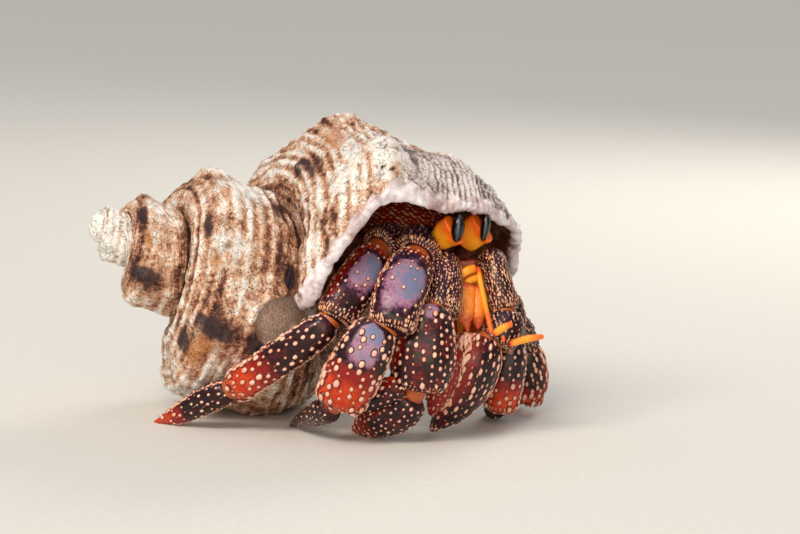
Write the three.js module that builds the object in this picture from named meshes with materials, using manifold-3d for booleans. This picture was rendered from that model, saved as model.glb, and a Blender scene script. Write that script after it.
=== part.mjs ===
// Land hermit crab in a turban shell, life size and still.
// Millimetres, +Z up. The floor is z = 0, the shell's apex points to -X, the viewer's side is -Y.
// The finished group is moved once so that the floor under the middle of its box is the origin.
import * as THREE from 'three';
import { mergeVertices } from 'three/addons/utils/BufferGeometryUtils.js';
import Module from 'manifold-3d';

const wasm = await Module();
wasm.setup();

// ---------------------------------------------------------------- driving dimensions

const GAP = 0.3;                 // clearance between neighbouring solids
const FINEST = 0.05;             // slivers left by the clearance cuts below this size are merged
const FLOOR_DEPTH = 20;          // thickness of the block that trims everything at z = 0

// The shell is a section swept around an axis while it grows.
const SHELL = {
  base: [-47.7, -12.8, 29.5],    // where the axis would reach zero size
  yaw: 15,                       // degrees, apex end nearer to the viewer
  dip: 20,                       // degrees, mouth end lower than the apex
  radialGrowth: 2.08,            // growth of the radius in one turn
  axialGrowth: 1.93,             // growth along the axis in one turn
  apexTurn: -1104,               // degrees, worn first whorl (0 is the top of the body whorl)
  apexAlong: 4.6,                // worn round tip, this far from the base on the axis
  apexSize: [1.9, 2.1, 2.3],     // and its half sizes in X, Y and Z
  coarseStep: 28,                // degrees between rings on the early whorls
  middleStep: 20,                // two rings to each knob
  fineStep: 40 / 3,              // three rings to each knob
  wall: 1.4,                     // thickness of the shell wall
  hollowFrom: -290,              // degrees, inner end of the living chamber
  knobHeight: 2.0,               // row of knobs on the shoulder
  knobEvery: 40,                 // degrees
  knobAt: -4,                    // degrees
  knobWidth: 9,                  // degrees, half width of one knob
  knobSpread: 0.62,              // half width across it, in lines of the section
  lowerKnobHeight: 1.0,          // smaller row on the side, between the large ones
  lipRidge: 0.7,                 // thick band just behind the lip
};

// Section of the body whorl at 0 degrees: distance from the axis, distance along it,
// and the angle at which the lip ends on that line of growth.
const SECTION = [
  { name: 'suture', r: 15.0, s: 27.4, lip: 88 },
  { name: 'ramp', r: 21.5, s: 28.4, lip: 70 },
  { name: 'shoulder', r: 26.4, s: 33.4, lip: 49.33 },
  { name: 'upper_side', r: 26.8, s: 42.0, lip: 43.5 },
  { name: 'side', r: 26.6, s: 48.5, lip: 39 },
  { name: 'lower_side', r: 24.4, s: 54.6, lip: 34 },
  { name: 'base_edge', r: 20.5, s: 59.2, lip: 25 },
  { name: 'base', r: 15.0, s: 61.0, lip: 24 },
  { name: 'inner_base', r: 8.5, s: 58.0, lip: 20 },
  { name: 'columella', r: 5.0, s: 49.0, lip: 26 },
  { name: 'columella_top', r: 5.0, s: 39.0, lip: 50 },
  { name: 'inner_wall', r: 9.0, s: 30.5, lip: 78 },
];

// Lines of growth that the rings follow: every row of the section, and halfway where it bulges.
const LINES = [0, 1, 1.5, 2, 2.5, 3, 3.5, 4, 4.5, 5, 6, 7, 8, 9, 10, 11];
const COARSE_LINES = LINES.filter(Number.isInteger);
const SHOULDER_LINE = 2;
const SIDE_LINE = 4;

const MATERIAL = {
  shell: { color: 0xcbb497, roughness: 0.7 },
  plate: { color: 0x4a1420, roughness: 0.35 },
  tip: { color: 0x8e2412, roughness: 0.4 },
  orange: { color: 0xe8730c, roughness: 0.45 },
  eye: { color: 0x1c1d22, roughness: 0.12 },
  soft: { color: 0x9a5a44, roughness: 0.6 },
};

// Every jointed piece is a barrel along a short path. w is its width and d its depth
// at equal stations along the path; side, where given, is the direction of the width.
const LIMBS = [
  // feelers and mouthparts
  { name: 'antennule_right', kind: 'orange', sides: 6, w: [0.9, 0.75, 0.7], d: [0.9, 0.75, 0.7],
    path: [[11.2, -14.0, 24.4], [12.2, -17.6, 20.3], [13.4, -21.4, 15.9]] },
  { name: 'antennule_left', kind: 'orange', sides: 6, w: [0.9, 0.75, 0.7], d: [0.9, 0.75, 0.7],
    path: [[12.2, -12.2, 23.4], [13.8, -15.8, 19.2], [15.3, -19.6, 14.4]] },
  { name: 'antennule_whip_right', kind: 'orange', sides: 6, w: [0.9, 1.1, 0.7], d: [0.9, 1.0, 0.7],
    path: [[13.6, -21.9, 15.8], [15.0, -21.7, 16.8], [16.3, -21.4, 17.5]] },
  { name: 'antennule_whip_left', kind: 'orange', sides: 6, w: [0.9, 1.1, 0.7], d: [0.9, 1.0, 0.7],
    path: [[15.9, -20.0, 14.2], [18.4, -19.4, 14.9], [21.0, -18.6, 15.3]] },
  { name: 'antenna_base_right', kind: 'orange', sides: 6, w: [1.2, 1.2, 0.9], d: [1.2, 1.2, 0.9],
    path: [[10.8, -14.9, 24.3], [9.5, -15.9, 23.9], [8.4, -15.7, 22.6]] },
  { name: 'antenna_base_left', kind: 'orange', sides: 6, w: [1.2, 1.2, 0.9], d: [1.2, 1.2, 0.9],
    path: [[11.3, -14.6, 22.9], [10.0, -15.4, 22.5], [8.9, -15.3, 21.2]] },
  { name: 'antenna_whip_right', kind: 'orange', sides: 6, rings: 6,
    w: [0.9, 0.85, 0.7, 0.6], d: [0.8, 0.75, 0.7, 0.6],
    path: [[8.0, -15.4, 22.0], [6.9, -14.2, 19.0], [5.3, -13.8, 14.4], [2.8, -15.0, 10.9]] },
  { name: 'antenna_whip_left', kind: 'orange', sides: 6, rings: 6,
    w: [0.9, 0.85, 0.7, 0.6], d: [0.8, 0.75, 0.7, 0.6],
    path: [[8.7, -15.0, 20.7], [8.9, -14.2, 16.8], [9.3, -13.9, 12.5], [8.8, -12.4, 8.2]] },
  { name: 'maxilliped_right', kind: 'orange', sides: 8, w: [2.9, 3.0, 2.5, 0.9], d: [1.8, 1.8, 1.6, 0.8],
    path: [[9.4, -16.4, 22.3], [9.4, -17.4, 20.1], [9.6, -18.4, 18.0], [10.1, -19.0, 15.7]] },
  { name: 'maxilliped_left', kind: 'orange', sides: 8, w: [2.6, 2.8, 2.4, 0.9], d: [1.8, 1.8, 1.6, 0.8],
    path: [[11.2, -15.6, 21.8], [11.3, -16.6, 19.8], [11.5, -17.6, 17.9], [11.5, -18.4, 16.0]] },

  // eyes on their flattened stalks
  { name: 'eye_right', kind: 'eye', sides: 10, w: [1.5, 1.95, 1.5], d: [2.0, 2.3, 2.0],
    path: [[7.9, -17.6, 28.4], [8.1, -18.0, 30.5], [8.3, -17.6, 32.4]] },
  { name: 'eye_left', kind: 'eye', sides: 10, w: [1.1, 1.5, 1.1], d: [2.0, 2.3, 2.0],
    path: [[11.8, -14.6, 28.3], [12.1, -15.0, 30.4], [12.2, -14.6, 32.4]] },
  { name: 'eyestalk_right', kind: 'orange', sides: 10, w: [2.2, 3.3, 4.2, 4.6], d: [2.2, 2.2, 2.2, 2.0],
    path: [[4.8, -13.6, 28.3], [5.8, -14.9, 28.5], [6.7, -16.0, 29.4], [7.8, -17.2, 30.2]] },
  { name: 'eyestalk_left', kind: 'orange', sides: 10, w: [2.6, 3.6, 4.6, 4.9], d: [2.2, 2.2, 2.1, 1.9],
    path: [[9.5, -11.8, 27.4], [10.0, -12.6, 28.2], [10.8, -13.5, 29.5], [11.8, -14.3, 30.3]] },

  // right third leg, stretched back along the shell
  { name: 'leg3_right_dactylus', kind: 'tip', sides: 8, w: [3.8, 4.0, 2.8, 0.9], d: [3.4, 3.4, 2.4, 0.8],
    path: [[-23.6, -20.4, 6.2], [-27.5, -19.0, 4.2], [-31.4, -17.0, 1.7], [-35.0, -15.2, 0.05]] },
  { name: 'leg3_right_propodus', kind: 'plate', sides: 8, w: [4.4, 4.9, 4.8, 4.4], d: [4.0, 4.3, 4.2, 3.8],
    path: [[-9.7, -25.4, 17.2], [-14.2, -24.4, 13.6], [-18.8, -22.6, 10.0], [-23.2, -20.6, 6.5]] },
  { name: 'leg3_right_carpus', kind: 'plate', sides: 8, w: [4.8, 5.8, 6.2, 5.2], d: [4.2, 4.8, 4.8, 4.2],
    path: [[-3.6, -16.6, 26.2], [-5.2, -20.2, 23.8], [-7.1, -23.2, 21.0], [-8.9, -25.2, 17.8]] },
  { name: 'leg3_right_merus', kind: 'plate', sides: 8, w: [4.2, 5.0, 5.0], d: [4.0, 4.6, 4.6],
    path: [[0.6, -8.6, 24.0], [-1.7, -12.2, 27.6], [-3.1, -15.6, 27.0]] },

  // right second leg, in front of the mouth of the shell
  { name: 'leg2_right_dactylus', kind: 'tip', sides: 8, w: [4.0, 3.6, 2.4, 0.9], d: [3.4, 3.0, 2.0, 0.8],
    path: [[-8.8, -26.6, 5.3], [-10.8, -23.6, 3.9], [-13.1, -19.2, 2.1], [-15.3, -14.2, 0.1]] },
  { name: 'leg2_right_propodus', kind: 'tip', sides: 10, w: [5.4, 7.2, 7.6, 6.2], d: [4.4, 5.4, 5.4, 4.4],
    path: [[-2.8, -28.2, 17.4], [-4.5, -28.8, 14.0], [-6.4, -28.4, 10.0], [-7.9, -27.2, 6.0]] },
  { name: 'leg2_right_carpus', kind: 'plate', sides: 10, w: [5.6, 6.9, 7.0, 5.8], d: [4.8, 5.8, 5.8, 4.8],
    path: [[2.1, -18.0, 25.5], [0.9, -22.2, 23.3], [-0.2, -25.6, 20.6], [-0.9, -28.0, 17.0]] },
  { name: 'leg2_right_merus', kind: 'plate', sides: 8, w: [5.0, 6.6, 6.6], d: [4.8, 5.6, 5.4],
    path: [[3.6, -9.4, 24.0], [2.8, -13.4, 26.9], [2.3, -17.0, 26.1]] },

  // right claw arm
  { name: 'cheliped_right_dactyl', kind: 'orange', sides: 10, w: [3.4, 3.8, 3.0, 1.2],
    d: [3.4, 3.4, 2.6, 1.2],
    path: [[1.0, -26.0, 9.0], [-0.9, -25.6, 7.8], [-2.9, -24.2, 5.9], [-4.7, -22.0, 3.8]] },
  { name: 'cheliped_right_palm', kind: 'plate', sides: 10, w: [4.6, 6.0, 5.4, 3.6, 1.2],
    d: [4.4, 5.2, 4.8, 3.4, 1.2],
    path: [[2.8, -24.4, 7.1], [0.8, -23.6, 4.9], [-1.7, -21.8, 3.1], [-4.1, -19.4, 1.7],
      [-6.1, -16.6, 0.2]] },
  { name: 'cheliped_right_carpus', kind: 'plate', sides: 10, w: [5.0, 7.4, 9.0, 6.4], d: [4.6, 5.6, 5.8, 4.6],
    path: [[4.8, -22.6, 19.3], [4.3, -24.2, 16.0], [3.7, -25.2, 12.2], [3.2, -25.0, 8.4]] },
  { name: 'cheliped_right_merus', kind: 'plate', sides: 8, w: [4.4, 5.2, 5.4, 5.2], d: [4.4, 5.2, 5.2, 4.8],
    path: [[6.4, -9.8, 22.8], [6.2, -14.6, 23.9], [6.4, -18.5, 21.7], [6.1, -21.4, 18.5]] },

  // left claw arm, the large one
  { name: 'cheliped_left_dactyl', kind: 'orange', sides: 10, w: [3.4, 4.2, 3.8, 1.6], d: [3.4, 3.8, 3.2, 1.6],
    path: [[8.0, -20.6, 13.8], [7.1, -21.2, 10.5], [6.1, -20.8, 7.0], [5.1, -19.8, 3.4]] },
  { name: 'cheliped_left_palm', kind: 'plate', sides: 10, rings: 6, w: [5.8, 8.2, 8.2, 5.4, 1.8],
    d: [5.2, 6.8, 6.4, 4.6, 1.8],
    path: [[11.7, -17.0, 14.7], [11.0, -18.2, 11.8], [9.7, -18.0, 8.1], [7.7, -17.2, 3.8],
      [5.3, -16.0, 0.3]] },
  { name: 'cheliped_left_carpus', kind: 'plate', sides: 10, w: [4.8, 5.6, 5.2], d: [4.8, 5.4, 4.8],
    path: [[15.4, -15.4, 17.4], [15.3, -16.4, 15.6], [14.3, -17.0, 14.1]] },
  { name: 'cheliped_left_merus', kind: 'plate', sides: 8, w: [3.8, 3.6, 4.0, 4.6], d: [4.2, 4.4, 4.4, 4.4],
    path: [[12.2, -8.8, 23.0], [13.5, -11.8, 24.9], [14.2, -13.8, 22.5], [15.3, -15.0, 18.5]] },

  // left second leg
  { name: 'leg2_left_dactylus', kind: 'tip', sides: 8, w: [3.4, 3.0, 2.2, 0.9], d: [3.0, 2.6, 1.8, 0.8],
    side: [1, 0, 0],
    path: [[14.8, -7.0, 2.2], [15.0, -4.8, 1.8], [14.7, -2.6, 1.0], [14.0, -0.4, 0.05]] },
  { name: 'leg2_left_propodus', kind: 'tip', sides: 8, w: [4.6, 5.2, 5.4, 4.6], d: [4.4, 5.0, 4.8, 4.0],
    path: [[16.2, -9.4, 13.2], [16.4, -9.8, 10.1], [15.9, -9.9, 6.5], [15.4, -9.2, 2.8]] },
  { name: 'leg2_left_carpus', kind: 'plate', sides: 8, w: [4.4, 5.0, 4.6], d: [4.6, 5.0, 4.6],
    path: [[15.6, -8.8, 19.0], [16.2, -8.8, 16.4], [16.3, -9.2, 13.8]] },
  { name: 'leg2_left_merus', kind: 'plate', sides: 8, w: [4.0, 4.4, 4.4], d: [4.0, 4.4, 4.4],
    path: [[11.4, -5.8, 21.0], [13.8, -6.6, 20.4], [15.4, -7.8, 18.4]] },

  // left third leg
  { name: 'leg3_left_dactylus', kind: 'tip', sides: 8, w: [3.4, 3.0, 2.2, 0.9], d: [3.0, 2.6, 1.8, 0.8],
    side: [1, 0, 0],
    path: [[19.0, 3.6, 2.9], [18.6, 5.8, 2.1], [17.8, 8.0, 1.0], [16.6, 10.0, 0.05]] },
  { name: 'leg3_left_propodus', kind: 'tip', sides: 8, w: [4.4, 5.2, 5.2, 4.4], d: [4.4, 5.0, 5.0, 4.0],
    path: [[19.0, 0.9, 10.2], [19.9, 1.2, 7.6], [20.2, 1.8, 4.7], [19.6, 2.4, 2.2]] },
  { name: 'leg3_left_carpus', kind: 'plate', sides: 8, w: [4.2, 4.8, 4.4], d: [4.4, 4.8, 4.4],
    path: [[17.1, -2.6, 14.5], [18.2, -1.2, 12.8], [18.9, 0.4, 10.9]] },
  { name: 'leg3_left_merus', kind: 'plate', sides: 8, w: [4.0, 4.4, 4.4], d: [4.0, 4.4, 4.4],
    path: [[9.0, -4.2, 19.4], [13.2, -3.6, 16.8], [16.2, -3.0, 14.2]] },

  // short fourth and fifth legs that hold the shell
  { name: 'leg4_right', kind: 'soft', sides: 6, w: [2.4, 2.2, 2.2, 1.2], d: [2.2, 2.0, 1.6, 1.0],
    path: [[-1.0, -6.0, 21.6], [-4.4, -9.0, 23.4], [-7.0, -12.4, 22.6], [-8.0, -15.4, 20.6]] },
  { name: 'leg4_left', kind: 'soft', sides: 6, w: [2.4, 2.2, 2.2, 1.2], d: [2.2, 2.0, 1.6, 1.0],
    path: [[5.6, -2.2, 21.4], [8.6, -1.4, 23.8], [10.6, -3.6, 26.4], [11.4, -6.4, 28.6]] },
  { name: 'leg5_right', kind: 'soft', sides: 6, w: [1.8, 1.6, 1.6, 0.9], d: [1.6, 1.4, 1.2, 0.8],
    path: [[-4.4, -3.0, 25.0], [-7.6, -5.4, 27.4], [-8.6, -9.0, 29.4], [-8.0, -12.4, 30.4]] },
  { name: 'leg5_left', kind: 'soft', sides: 6, w: [1.8, 1.6, 1.6, 0.9], d: [1.6, 1.4, 1.2, 0.8],
    path: [[-0.6, 3.0, 25.6], [0.6, 4.6, 28.6], [0.2, 4.4, 31.8], [-1.4, 2.6, 34.4]] },

  // body
  { name: 'mouth_field', kind: 'orange', sides: 8, w: [3.8, 5.4, 5.4, 4.2], d: [2.4, 2.8, 2.8, 2.2],
    path: [[9.9, -9.6, 25.0], [10.2, -10.4, 21.6], [10.2, -11.4, 17.4], [10.0, -11.6, 13.6]] },
  { name: 'carapace', kind: 'plate', sides: 12, rings: 6, w: [4.6, 9.0, 11.0, 11.6, 9.0],
    d: [3.0, 5.8, 8.0, 8.8, 7.4], side: [0.57, 0.82, 0],
    path: [[8.0, -8.8, 27.6], [5.2, -6.8, 28.6], [2.0, -4.6, 29.4], [-1.6, -2.2, 29.4], [-4.8, 0.0, 28.6]] },
  { name: 'thorax_underside', kind: 'soft', sides: 12, w: [3.4, 6.4, 7.2, 6.8], d: [2.8, 4.0, 4.4, 4.2],
    side: [0.57, 0.82, 0],
    path: [[7.4, -7.6, 22.4], [4.4, -5.6, 22.0], [1.0, -3.4, 22.0], [-3.0, -0.8, 22.6]] },
];

// The soft belly fills the hollow of the shell in two lengths, with this room to the wall.
const BELLY = [
  { name: 'abdomen_front', from: -4, to: -128, room: [1.6, 1.3, 1.3] },
  { name: 'abdomen_rear', from: -134, to: -268, room: [1.3, 1.5, 2.2] },
];

// ---------------------------------------------------------------- solids

function toSolid(positions, triangles) {
  let volume = 0;
  const a = new THREE.Vector3(), b = new THREE.Vector3(), c = new THREE.Vector3();
  for (let i = 0; i < triangles.length; i += 3) {
    a.fromArray(positions, triangles[i] * 3);
    b.fromArray(positions, triangles[i + 1] * 3);
    c.fromArray(positions, triangles[i + 2] * 3);
    volume += a.dot(b.cross(c));
  }
  const order = volume < 0 ? [0, 2, 1] : [0, 1, 2];
  const triVerts = new Uint32Array(triangles.length);
  for (let i = 0; i < triangles.length; i += 3) {
    for (let k = 0; k < 3; k++) triVerts[i + k] = triangles[i + order[k]];
  }
  const vertProperties = new Float32Array(positions);
  return new wasm.Manifold(new wasm.Mesh({ numProp: 3, vertProperties, triVerts }));
}

// Closed body through a row of rings, each a closed loop of points.
function loft(rings, startPoint, endPoint) {
  const count = rings[0].length;
  const positions = [];
  const triangles = [];
  for (const ring of rings) for (const p of ring) positions.push(p.x, p.y, p.z);
  const first = rings.length * count;
  positions.push(...startPoint.toArray(), ...endPoint.toArray());
  for (let k = 0; k < rings.length - 1; k++) {
    for (let j = 0; j < count; j++) {
      const next = (j + 1) % count;
      const p = k * count + j, q = k * count + next;
      triangles.push(p, q, q + count, p, q + count, p + count);
    }
  }
  const last = (rings.length - 1) * count;
  for (let j = 0; j < count; j++) {
    const next = (j + 1) % count;
    triangles.push(first, next, j);
    triangles.push(first + 1, last + j, last + next);
  }
  return toSolid(positions, triangles);
}

function average(points) {
  const sum = new THREE.Vector3();
  for (const p of points) sum.add(p);
  return sum.divideScalar(points.length);
}

// Value between equally spaced stations, t from 0 to 1.
function station(values, t) {
  const x = t * (values.length - 1);
  const i = Math.min(Math.floor(x), values.length - 2);
  return THREE.MathUtils.lerp(values[i], values[i + 1], x - i);
}

// Rounded barrel along a smooth path: full rings with dome-shaped ends.
function barrel(limb, grow) {
  const curve = new THREE.CatmullRomCurve3(limb.path.map((p) => new THREE.Vector3(...p)));
  const steps = limb.rings ?? (limb.path.length > 3 ? 5 : 4);
  const dome = [0.0, 0.07];
  const stations = [...dome];
  for (let k = 1; k < steps - 1; k++) stations.push(0.07 + 0.86 * k / (steps - 1));
  stations.push(0.93, 1.0);
  const rings = [];
  for (const t of stations) {
    const centre = curve.getPoint(t);
    const along = curve.getTangent(t);
    const reference = limb.side ? new THREE.Vector3(...limb.side) : along.clone().cross(VIEW_AXIS);
    const side = reference.addScaledVector(along, -reference.dot(along)).normalize();
    const depth = along.clone().cross(side).normalize();
    const end = t === 0 || t === 1;
    const round = end ? 0.62 : 1;
    const w = station(limb.w, t) / 2 * round + grow;
    const d = station(limb.d, t) / 2 * round + grow;
    centre.addScaledVector(along, t === 0 ? -grow : t === 1 ? grow : 0);
    const ring = [];
    for (let j = 0; j < limb.sides; j++) {
      const a = 2 * Math.PI * (j + 0.5) / limb.sides;
      const point = centre.clone().addScaledVector(side, w * Math.cos(a));
      ring.push(point.addScaledVector(depth, d * Math.sin(a)));
    }
    rings.push(ring);
  }
  const reach = 0.12 * Math.min(limb.w[0], limb.d[0]);
  const startPoint = average(rings[0]).addScaledVector(curve.getTangent(0), -reach);
  const endPoint = average(rings[rings.length - 1]).addScaledVector(curve.getTangent(1), reach);
  return loft(rings, startPoint, endPoint);
}

const VIEW_AXIS = new THREE.Vector3(0, 1, 0);

// ---------------------------------------------------------------- shell

const yaw = THREE.MathUtils.degToRad(SHELL.yaw);
const dip = THREE.MathUtils.degToRad(SHELL.dip);
const AXIS = new THREE.Vector3(Math.cos(dip) * Math.cos(yaw), Math.cos(dip) * Math.sin(yaw), -Math.sin(dip));
const TOP = new THREE.Vector3(0, 0, 1).addScaledVector(AXIS, -AXIS.z).normalize();
const NEAR = AXIS.clone().cross(TOP);
const SECTION_CURVE = new THREE.CatmullRomCurve3(
  SECTION.map((p) => new THREE.Vector3(p.r, p.s, p.lip)), true, 'catmullrom', 0.5);
const CENTRE = {
  r: SECTION.reduce((sum, p) => sum + p.r, 0) / SECTION.length,
  s: SECTION.reduce((sum, p) => sum + p.s, 0) / SECTION.length,
};

// Point of the spiral: angle in degrees, distances at the size of the body whorl.
function spiral(angle, r, s) {
  const turn = angle / 360;
  const radius = r * SHELL.radialGrowth ** turn;
  const height = s * SHELL.axialGrowth ** turn;
  const a = THREE.MathUtils.degToRad(angle);
  return new THREE.Vector3(...SHELL.base)
    .addScaledVector(TOP, radius * Math.cos(a))
    .addScaledVector(NEAR, radius * Math.sin(a))
    .addScaledVector(AXIS, height);
}

// Height of a row of knobs at an angle, from 0 between two knobs to 1 on top of one.
function knob(angle, phase) {
  const off = ((angle - SHELL.knobAt - phase) % SHELL.knobEvery + 1.5 * SHELL.knobEvery) % SHELL.knobEvery
    - SHELL.knobEvery / 2;
  return Math.exp(-((off / SHELL.knobWidth) ** 2));
}

// One line of growth at an angle, moved in (negative) or out (positive) by an offset.
function shellPoint(angle, line, lip, offset, withKnobs) {
  const { x: r, y: s } = SECTION_CURVE.getPoint(line / SECTION.length);
  const bump = withKnobs
    ? SHELL.knobHeight * knob(angle, 0) * Math.exp(-(((line - SHOULDER_LINE) / SHELL.knobSpread) ** 2)) : 0;
  const place = spiral(angle, r + 0.8 * bump, s - 0.4 * bump);
  const inward = spiral(angle, CENTRE.r, CENTRE.s).sub(place).normalize();
  const size = SHELL.radialGrowth ** (angle / 360);
  const side = line === SIDE_LINE ? SHELL.lowerKnobHeight * size * knob(angle, SHELL.fineStep) : 0;
  const ridge = SHELL.lipRidge * Math.exp(-(((lip - angle - SHELL.fineStep) / SHELL.fineStep) ** 2));
  return place.addScaledVector(inward, -offset - (withKnobs ? side + ridge : 0));
}

function lipAngle(line) {
  return SECTION_CURVE.getPoint(line / SECTION.length).z;
}

function shellRing(lines, angleOf, offset, withKnobs) {
  return lines.map((line) => shellPoint(angleOf(line), line, lipAngle(line), offset, withKnobs));
}

// A stretch of whorl. The last one ends on the lip, and "past" carries a cutter beyond it.
function whorl(lines, from, to, step, offset, lip = false, past = 0) {
  const count = Math.max(2, Math.round((to - from) / step));
  const rings = [];
  const inset = shellRing(lines, () => from - step, offset - 0.6, false);
  if (offset >= 0) rings.push(inset);
  for (let k = 0; k <= count; k++) {
    const t = k / count;
    const angleOf = (line) => THREE.MathUtils.lerp(from, lip ? lipAngle(line) + past : to, t);
    rings.push(shellRing(lines, angleOf, offset, offset >= 0));
  }
  return loft(rings, average(rings[0]), average(rings[rings.length - 1]));
}

function apex(grow) {
  const size = SHELL.apexSize.map((half) => half + grow);
  const middle = new THREE.Vector3(...SHELL.base).addScaledVector(AXIS, SHELL.apexAlong);
  return wasm.Manifold.sphere(1, 12).scale(size).translate(middle.toArray());
}

function outerShell(grow) {
  const parts = [
    apex(grow),
    whorl(COARSE_LINES, SHELL.apexTurn, -840, SHELL.coarseStep, grow),
    whorl(LINES, -840, -564, SHELL.coarseStep, grow),
    whorl(LINES, -564, -324, SHELL.middleStep, grow),
    whorl(LINES, -324, -84, SHELL.fineStep, grow),
    whorl(LINES, -84, 49.33, SHELL.fineStep, grow, true, grow > 0 ? 0.8 : 0),
  ];
  return wasm.Manifold.union(parts);
}

function chamber(shrink) {
  const thick = SHELL.wall + shrink;
  return whorl(COARSE_LINES, SHELL.hollowFrom, -120, 21, -thick)
    .add(whorl(COARSE_LINES, -122, 49.33, 21, -thick, true, 0))
    .add(mouthCutter(thick));
}

// Carries the chamber out through the lip so that the mouth is open.
function mouthCutter(thick) {
  const rings = [];
  for (const [past, offset] of [[-6, -thick], [0, -thick], [8, -0.4 * thick]]) {
    rings.push(shellRing(COARSE_LINES, (line) => lipAngle(line) + past, offset, false));
  }
  return loft(rings, average(rings[0]), average(rings[rings.length - 1]));
}

function shell(grow) {
  return outerShell(grow).subtract(chamber(grow));
}

function belly(piece, grow) {
  const rings = [];
  const steps = Math.round((piece.from - piece.to) / 22);
  for (let k = 0; k <= steps; k++) {
    const t = k / steps;
    const angle = THREE.MathUtils.lerp(piece.from + (grow > 0 ? 1 : 0), piece.to - (grow > 0 ? 1 : 0), t);
    const round = k === 0 || k === steps ? 1.6 : 0;
    const inset = SHELL.wall + station(piece.room, t) + round;
    rings.push(shellRing(COARSE_LINES, () => angle, grow - inset, false));
  }
  return loft(rings, average(rings[0]), average(rings[rings.length - 1]));
}

// ---------------------------------------------------------------- assembly

function floorBlock() {
  const box = new THREE.BoxGeometry(300, 300, FLOOR_DEPTH);
  box.translate(0, 0, -FLOOR_DEPTH / 2);
  box.deleteAttribute('normal');
  box.deleteAttribute('uv');
  const merged = mergeVertices(box, 1e-4);
  return toSolid(Array.from(merged.attributes.position.array), Array.from(merged.index.array));
}

function largest(solid) {
  const bodies = solid.decompose();
  return bodies.reduce((best, body) => (body.volume() > best.volume() ? body : best));
}

function boxesMeet(a, b) {
  const p = a.boundingBox(), q = b.boundingBox();
  return [0, 1, 2].every((i) => p.min[i] < q.max[i] + GAP && q.min[i] < p.max[i] + GAP);
}

function toGeometry(solid) {
  const { vertProperties, triVerts, numProp } = solid.getMesh();
  const geometry = new THREE.BufferGeometry();
  const positions = new Float32Array(vertProperties.length / numProp * 3);
  for (let i = 0; i < positions.length / 3; i++) {
    for (let k = 0; k < 3; k++) positions[3 * i + k] = vertProperties[numProp * i + k];
  }
  geometry.setAttribute('position', new THREE.BufferAttribute(positions, 3));
  geometry.setIndex(new THREE.BufferAttribute(new Uint32Array(triVerts), 1));
  geometry.computeVertexNormals();
  return geometry;
}

const recipes = [
  { name: 'shell', kind: 'shell', make: shell },
  ...LIMBS.map((limb) => ({ name: limb.name, kind: limb.kind, make: (grow) => barrel(limb, grow) })),
  ...BELLY.map((piece) => ({ name: piece.name, kind: 'soft', make: (grow) => belly(piece, grow) })),
];

// Each piece gives way, by the clearance, to every piece named before it.
const floor = floorBlock();
const crab = new THREE.Group();
const placed = [];
for (const recipe of recipes) {
  let solid = recipe.make(0).subtract(floor);
  for (const other of placed) {
    if (boxesMeet(solid, other.grown)) solid = solid.subtract(other.grown);
  }
  solid = largest(solid.asOriginal().simplify(FINEST));
  placed.push({ name: recipe.name, solid, grown: recipe.make(GAP) });
  const look = { metalness: 0, ...MATERIAL[recipe.kind] };
  const mesh = new THREE.Mesh(toGeometry(solid), new THREE.MeshStandardMaterial(look));
  mesh.name = recipe.name;
  crab.add(mesh);
}

const box = new THREE.Box3().setFromObject(crab);
for (const mesh of crab.children) {
  mesh.geometry.translate(-(box.min.x + box.max.x) / 2, -(box.min.y + box.max.y) / 2, -box.min.z);
}

export default crab;
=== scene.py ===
"""Land hermit crab in a turban shell: the finished model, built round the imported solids.

Shapes are worked out in millimetres in the design frame of the solids (floor at z = 0, apex of the
shell towards -X, the viewer's side towards -Y) and are moved to the shared frame, in metres, as
each piece is made.
"""
from __future__ import annotations

import itertools
import logging
import math
from dataclasses import dataclass, field
from enum import Enum
from typing import Any, Sequence

import bpy
import numpy as np
from mathutils import Matrix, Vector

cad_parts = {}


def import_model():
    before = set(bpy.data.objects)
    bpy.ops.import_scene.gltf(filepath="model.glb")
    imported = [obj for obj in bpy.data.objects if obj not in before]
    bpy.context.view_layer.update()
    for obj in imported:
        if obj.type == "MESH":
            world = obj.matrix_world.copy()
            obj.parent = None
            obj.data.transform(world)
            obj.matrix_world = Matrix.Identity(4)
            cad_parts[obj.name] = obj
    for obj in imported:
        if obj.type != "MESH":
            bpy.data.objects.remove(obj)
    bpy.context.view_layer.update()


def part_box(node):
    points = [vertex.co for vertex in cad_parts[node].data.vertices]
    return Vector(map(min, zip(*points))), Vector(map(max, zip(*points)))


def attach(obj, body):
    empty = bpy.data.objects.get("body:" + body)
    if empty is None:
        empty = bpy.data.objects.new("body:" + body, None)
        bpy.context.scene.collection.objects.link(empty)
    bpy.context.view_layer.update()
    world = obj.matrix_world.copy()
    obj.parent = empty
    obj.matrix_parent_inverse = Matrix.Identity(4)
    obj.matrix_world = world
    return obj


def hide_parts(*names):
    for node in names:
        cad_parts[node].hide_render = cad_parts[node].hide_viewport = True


LOG = logging.getLogger("hermit_crab")
Array = np.ndarray
Triple = tuple[float, float, float]
Tile = tuple[float, float, float, float]     # lowest and highest corner of a part of the bake map

MM = 0.001
TAU = 2.0 * math.pi
WHOLE: Tile = (0.0, 0.0, 1.0, 1.0)
PATCH = 0.003              # side of a stud's or bristle's patch on the bake map
OVERLAP = 0.55             # mm that a plate reaches past its solid at each end, over the next one


# ---------------------------------------------------------------- numbers and noise


def smooth_step(low: float, high: float, value: Array) -> Array:
    """Rises from 0 at low to 1 at high along a cubic with flat ends.

    Args:
        low: value where the rise starts.
        high: value where it ends; it may be below low for a fall.
        value: numbers to map.

    Returns:
        Numbers from 0 to 1 in the shape of value.
    """
    x = np.clip((value - low) / (high - low), 0.0, 1.0)
    return x * x * (3.0 - 2.0 * x)


def bell(offset: Array, width: float) -> Array:
    """Gaussian bump: exp of minus the square of offset over width."""
    return np.exp(-((offset / width) ** 2))


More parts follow.
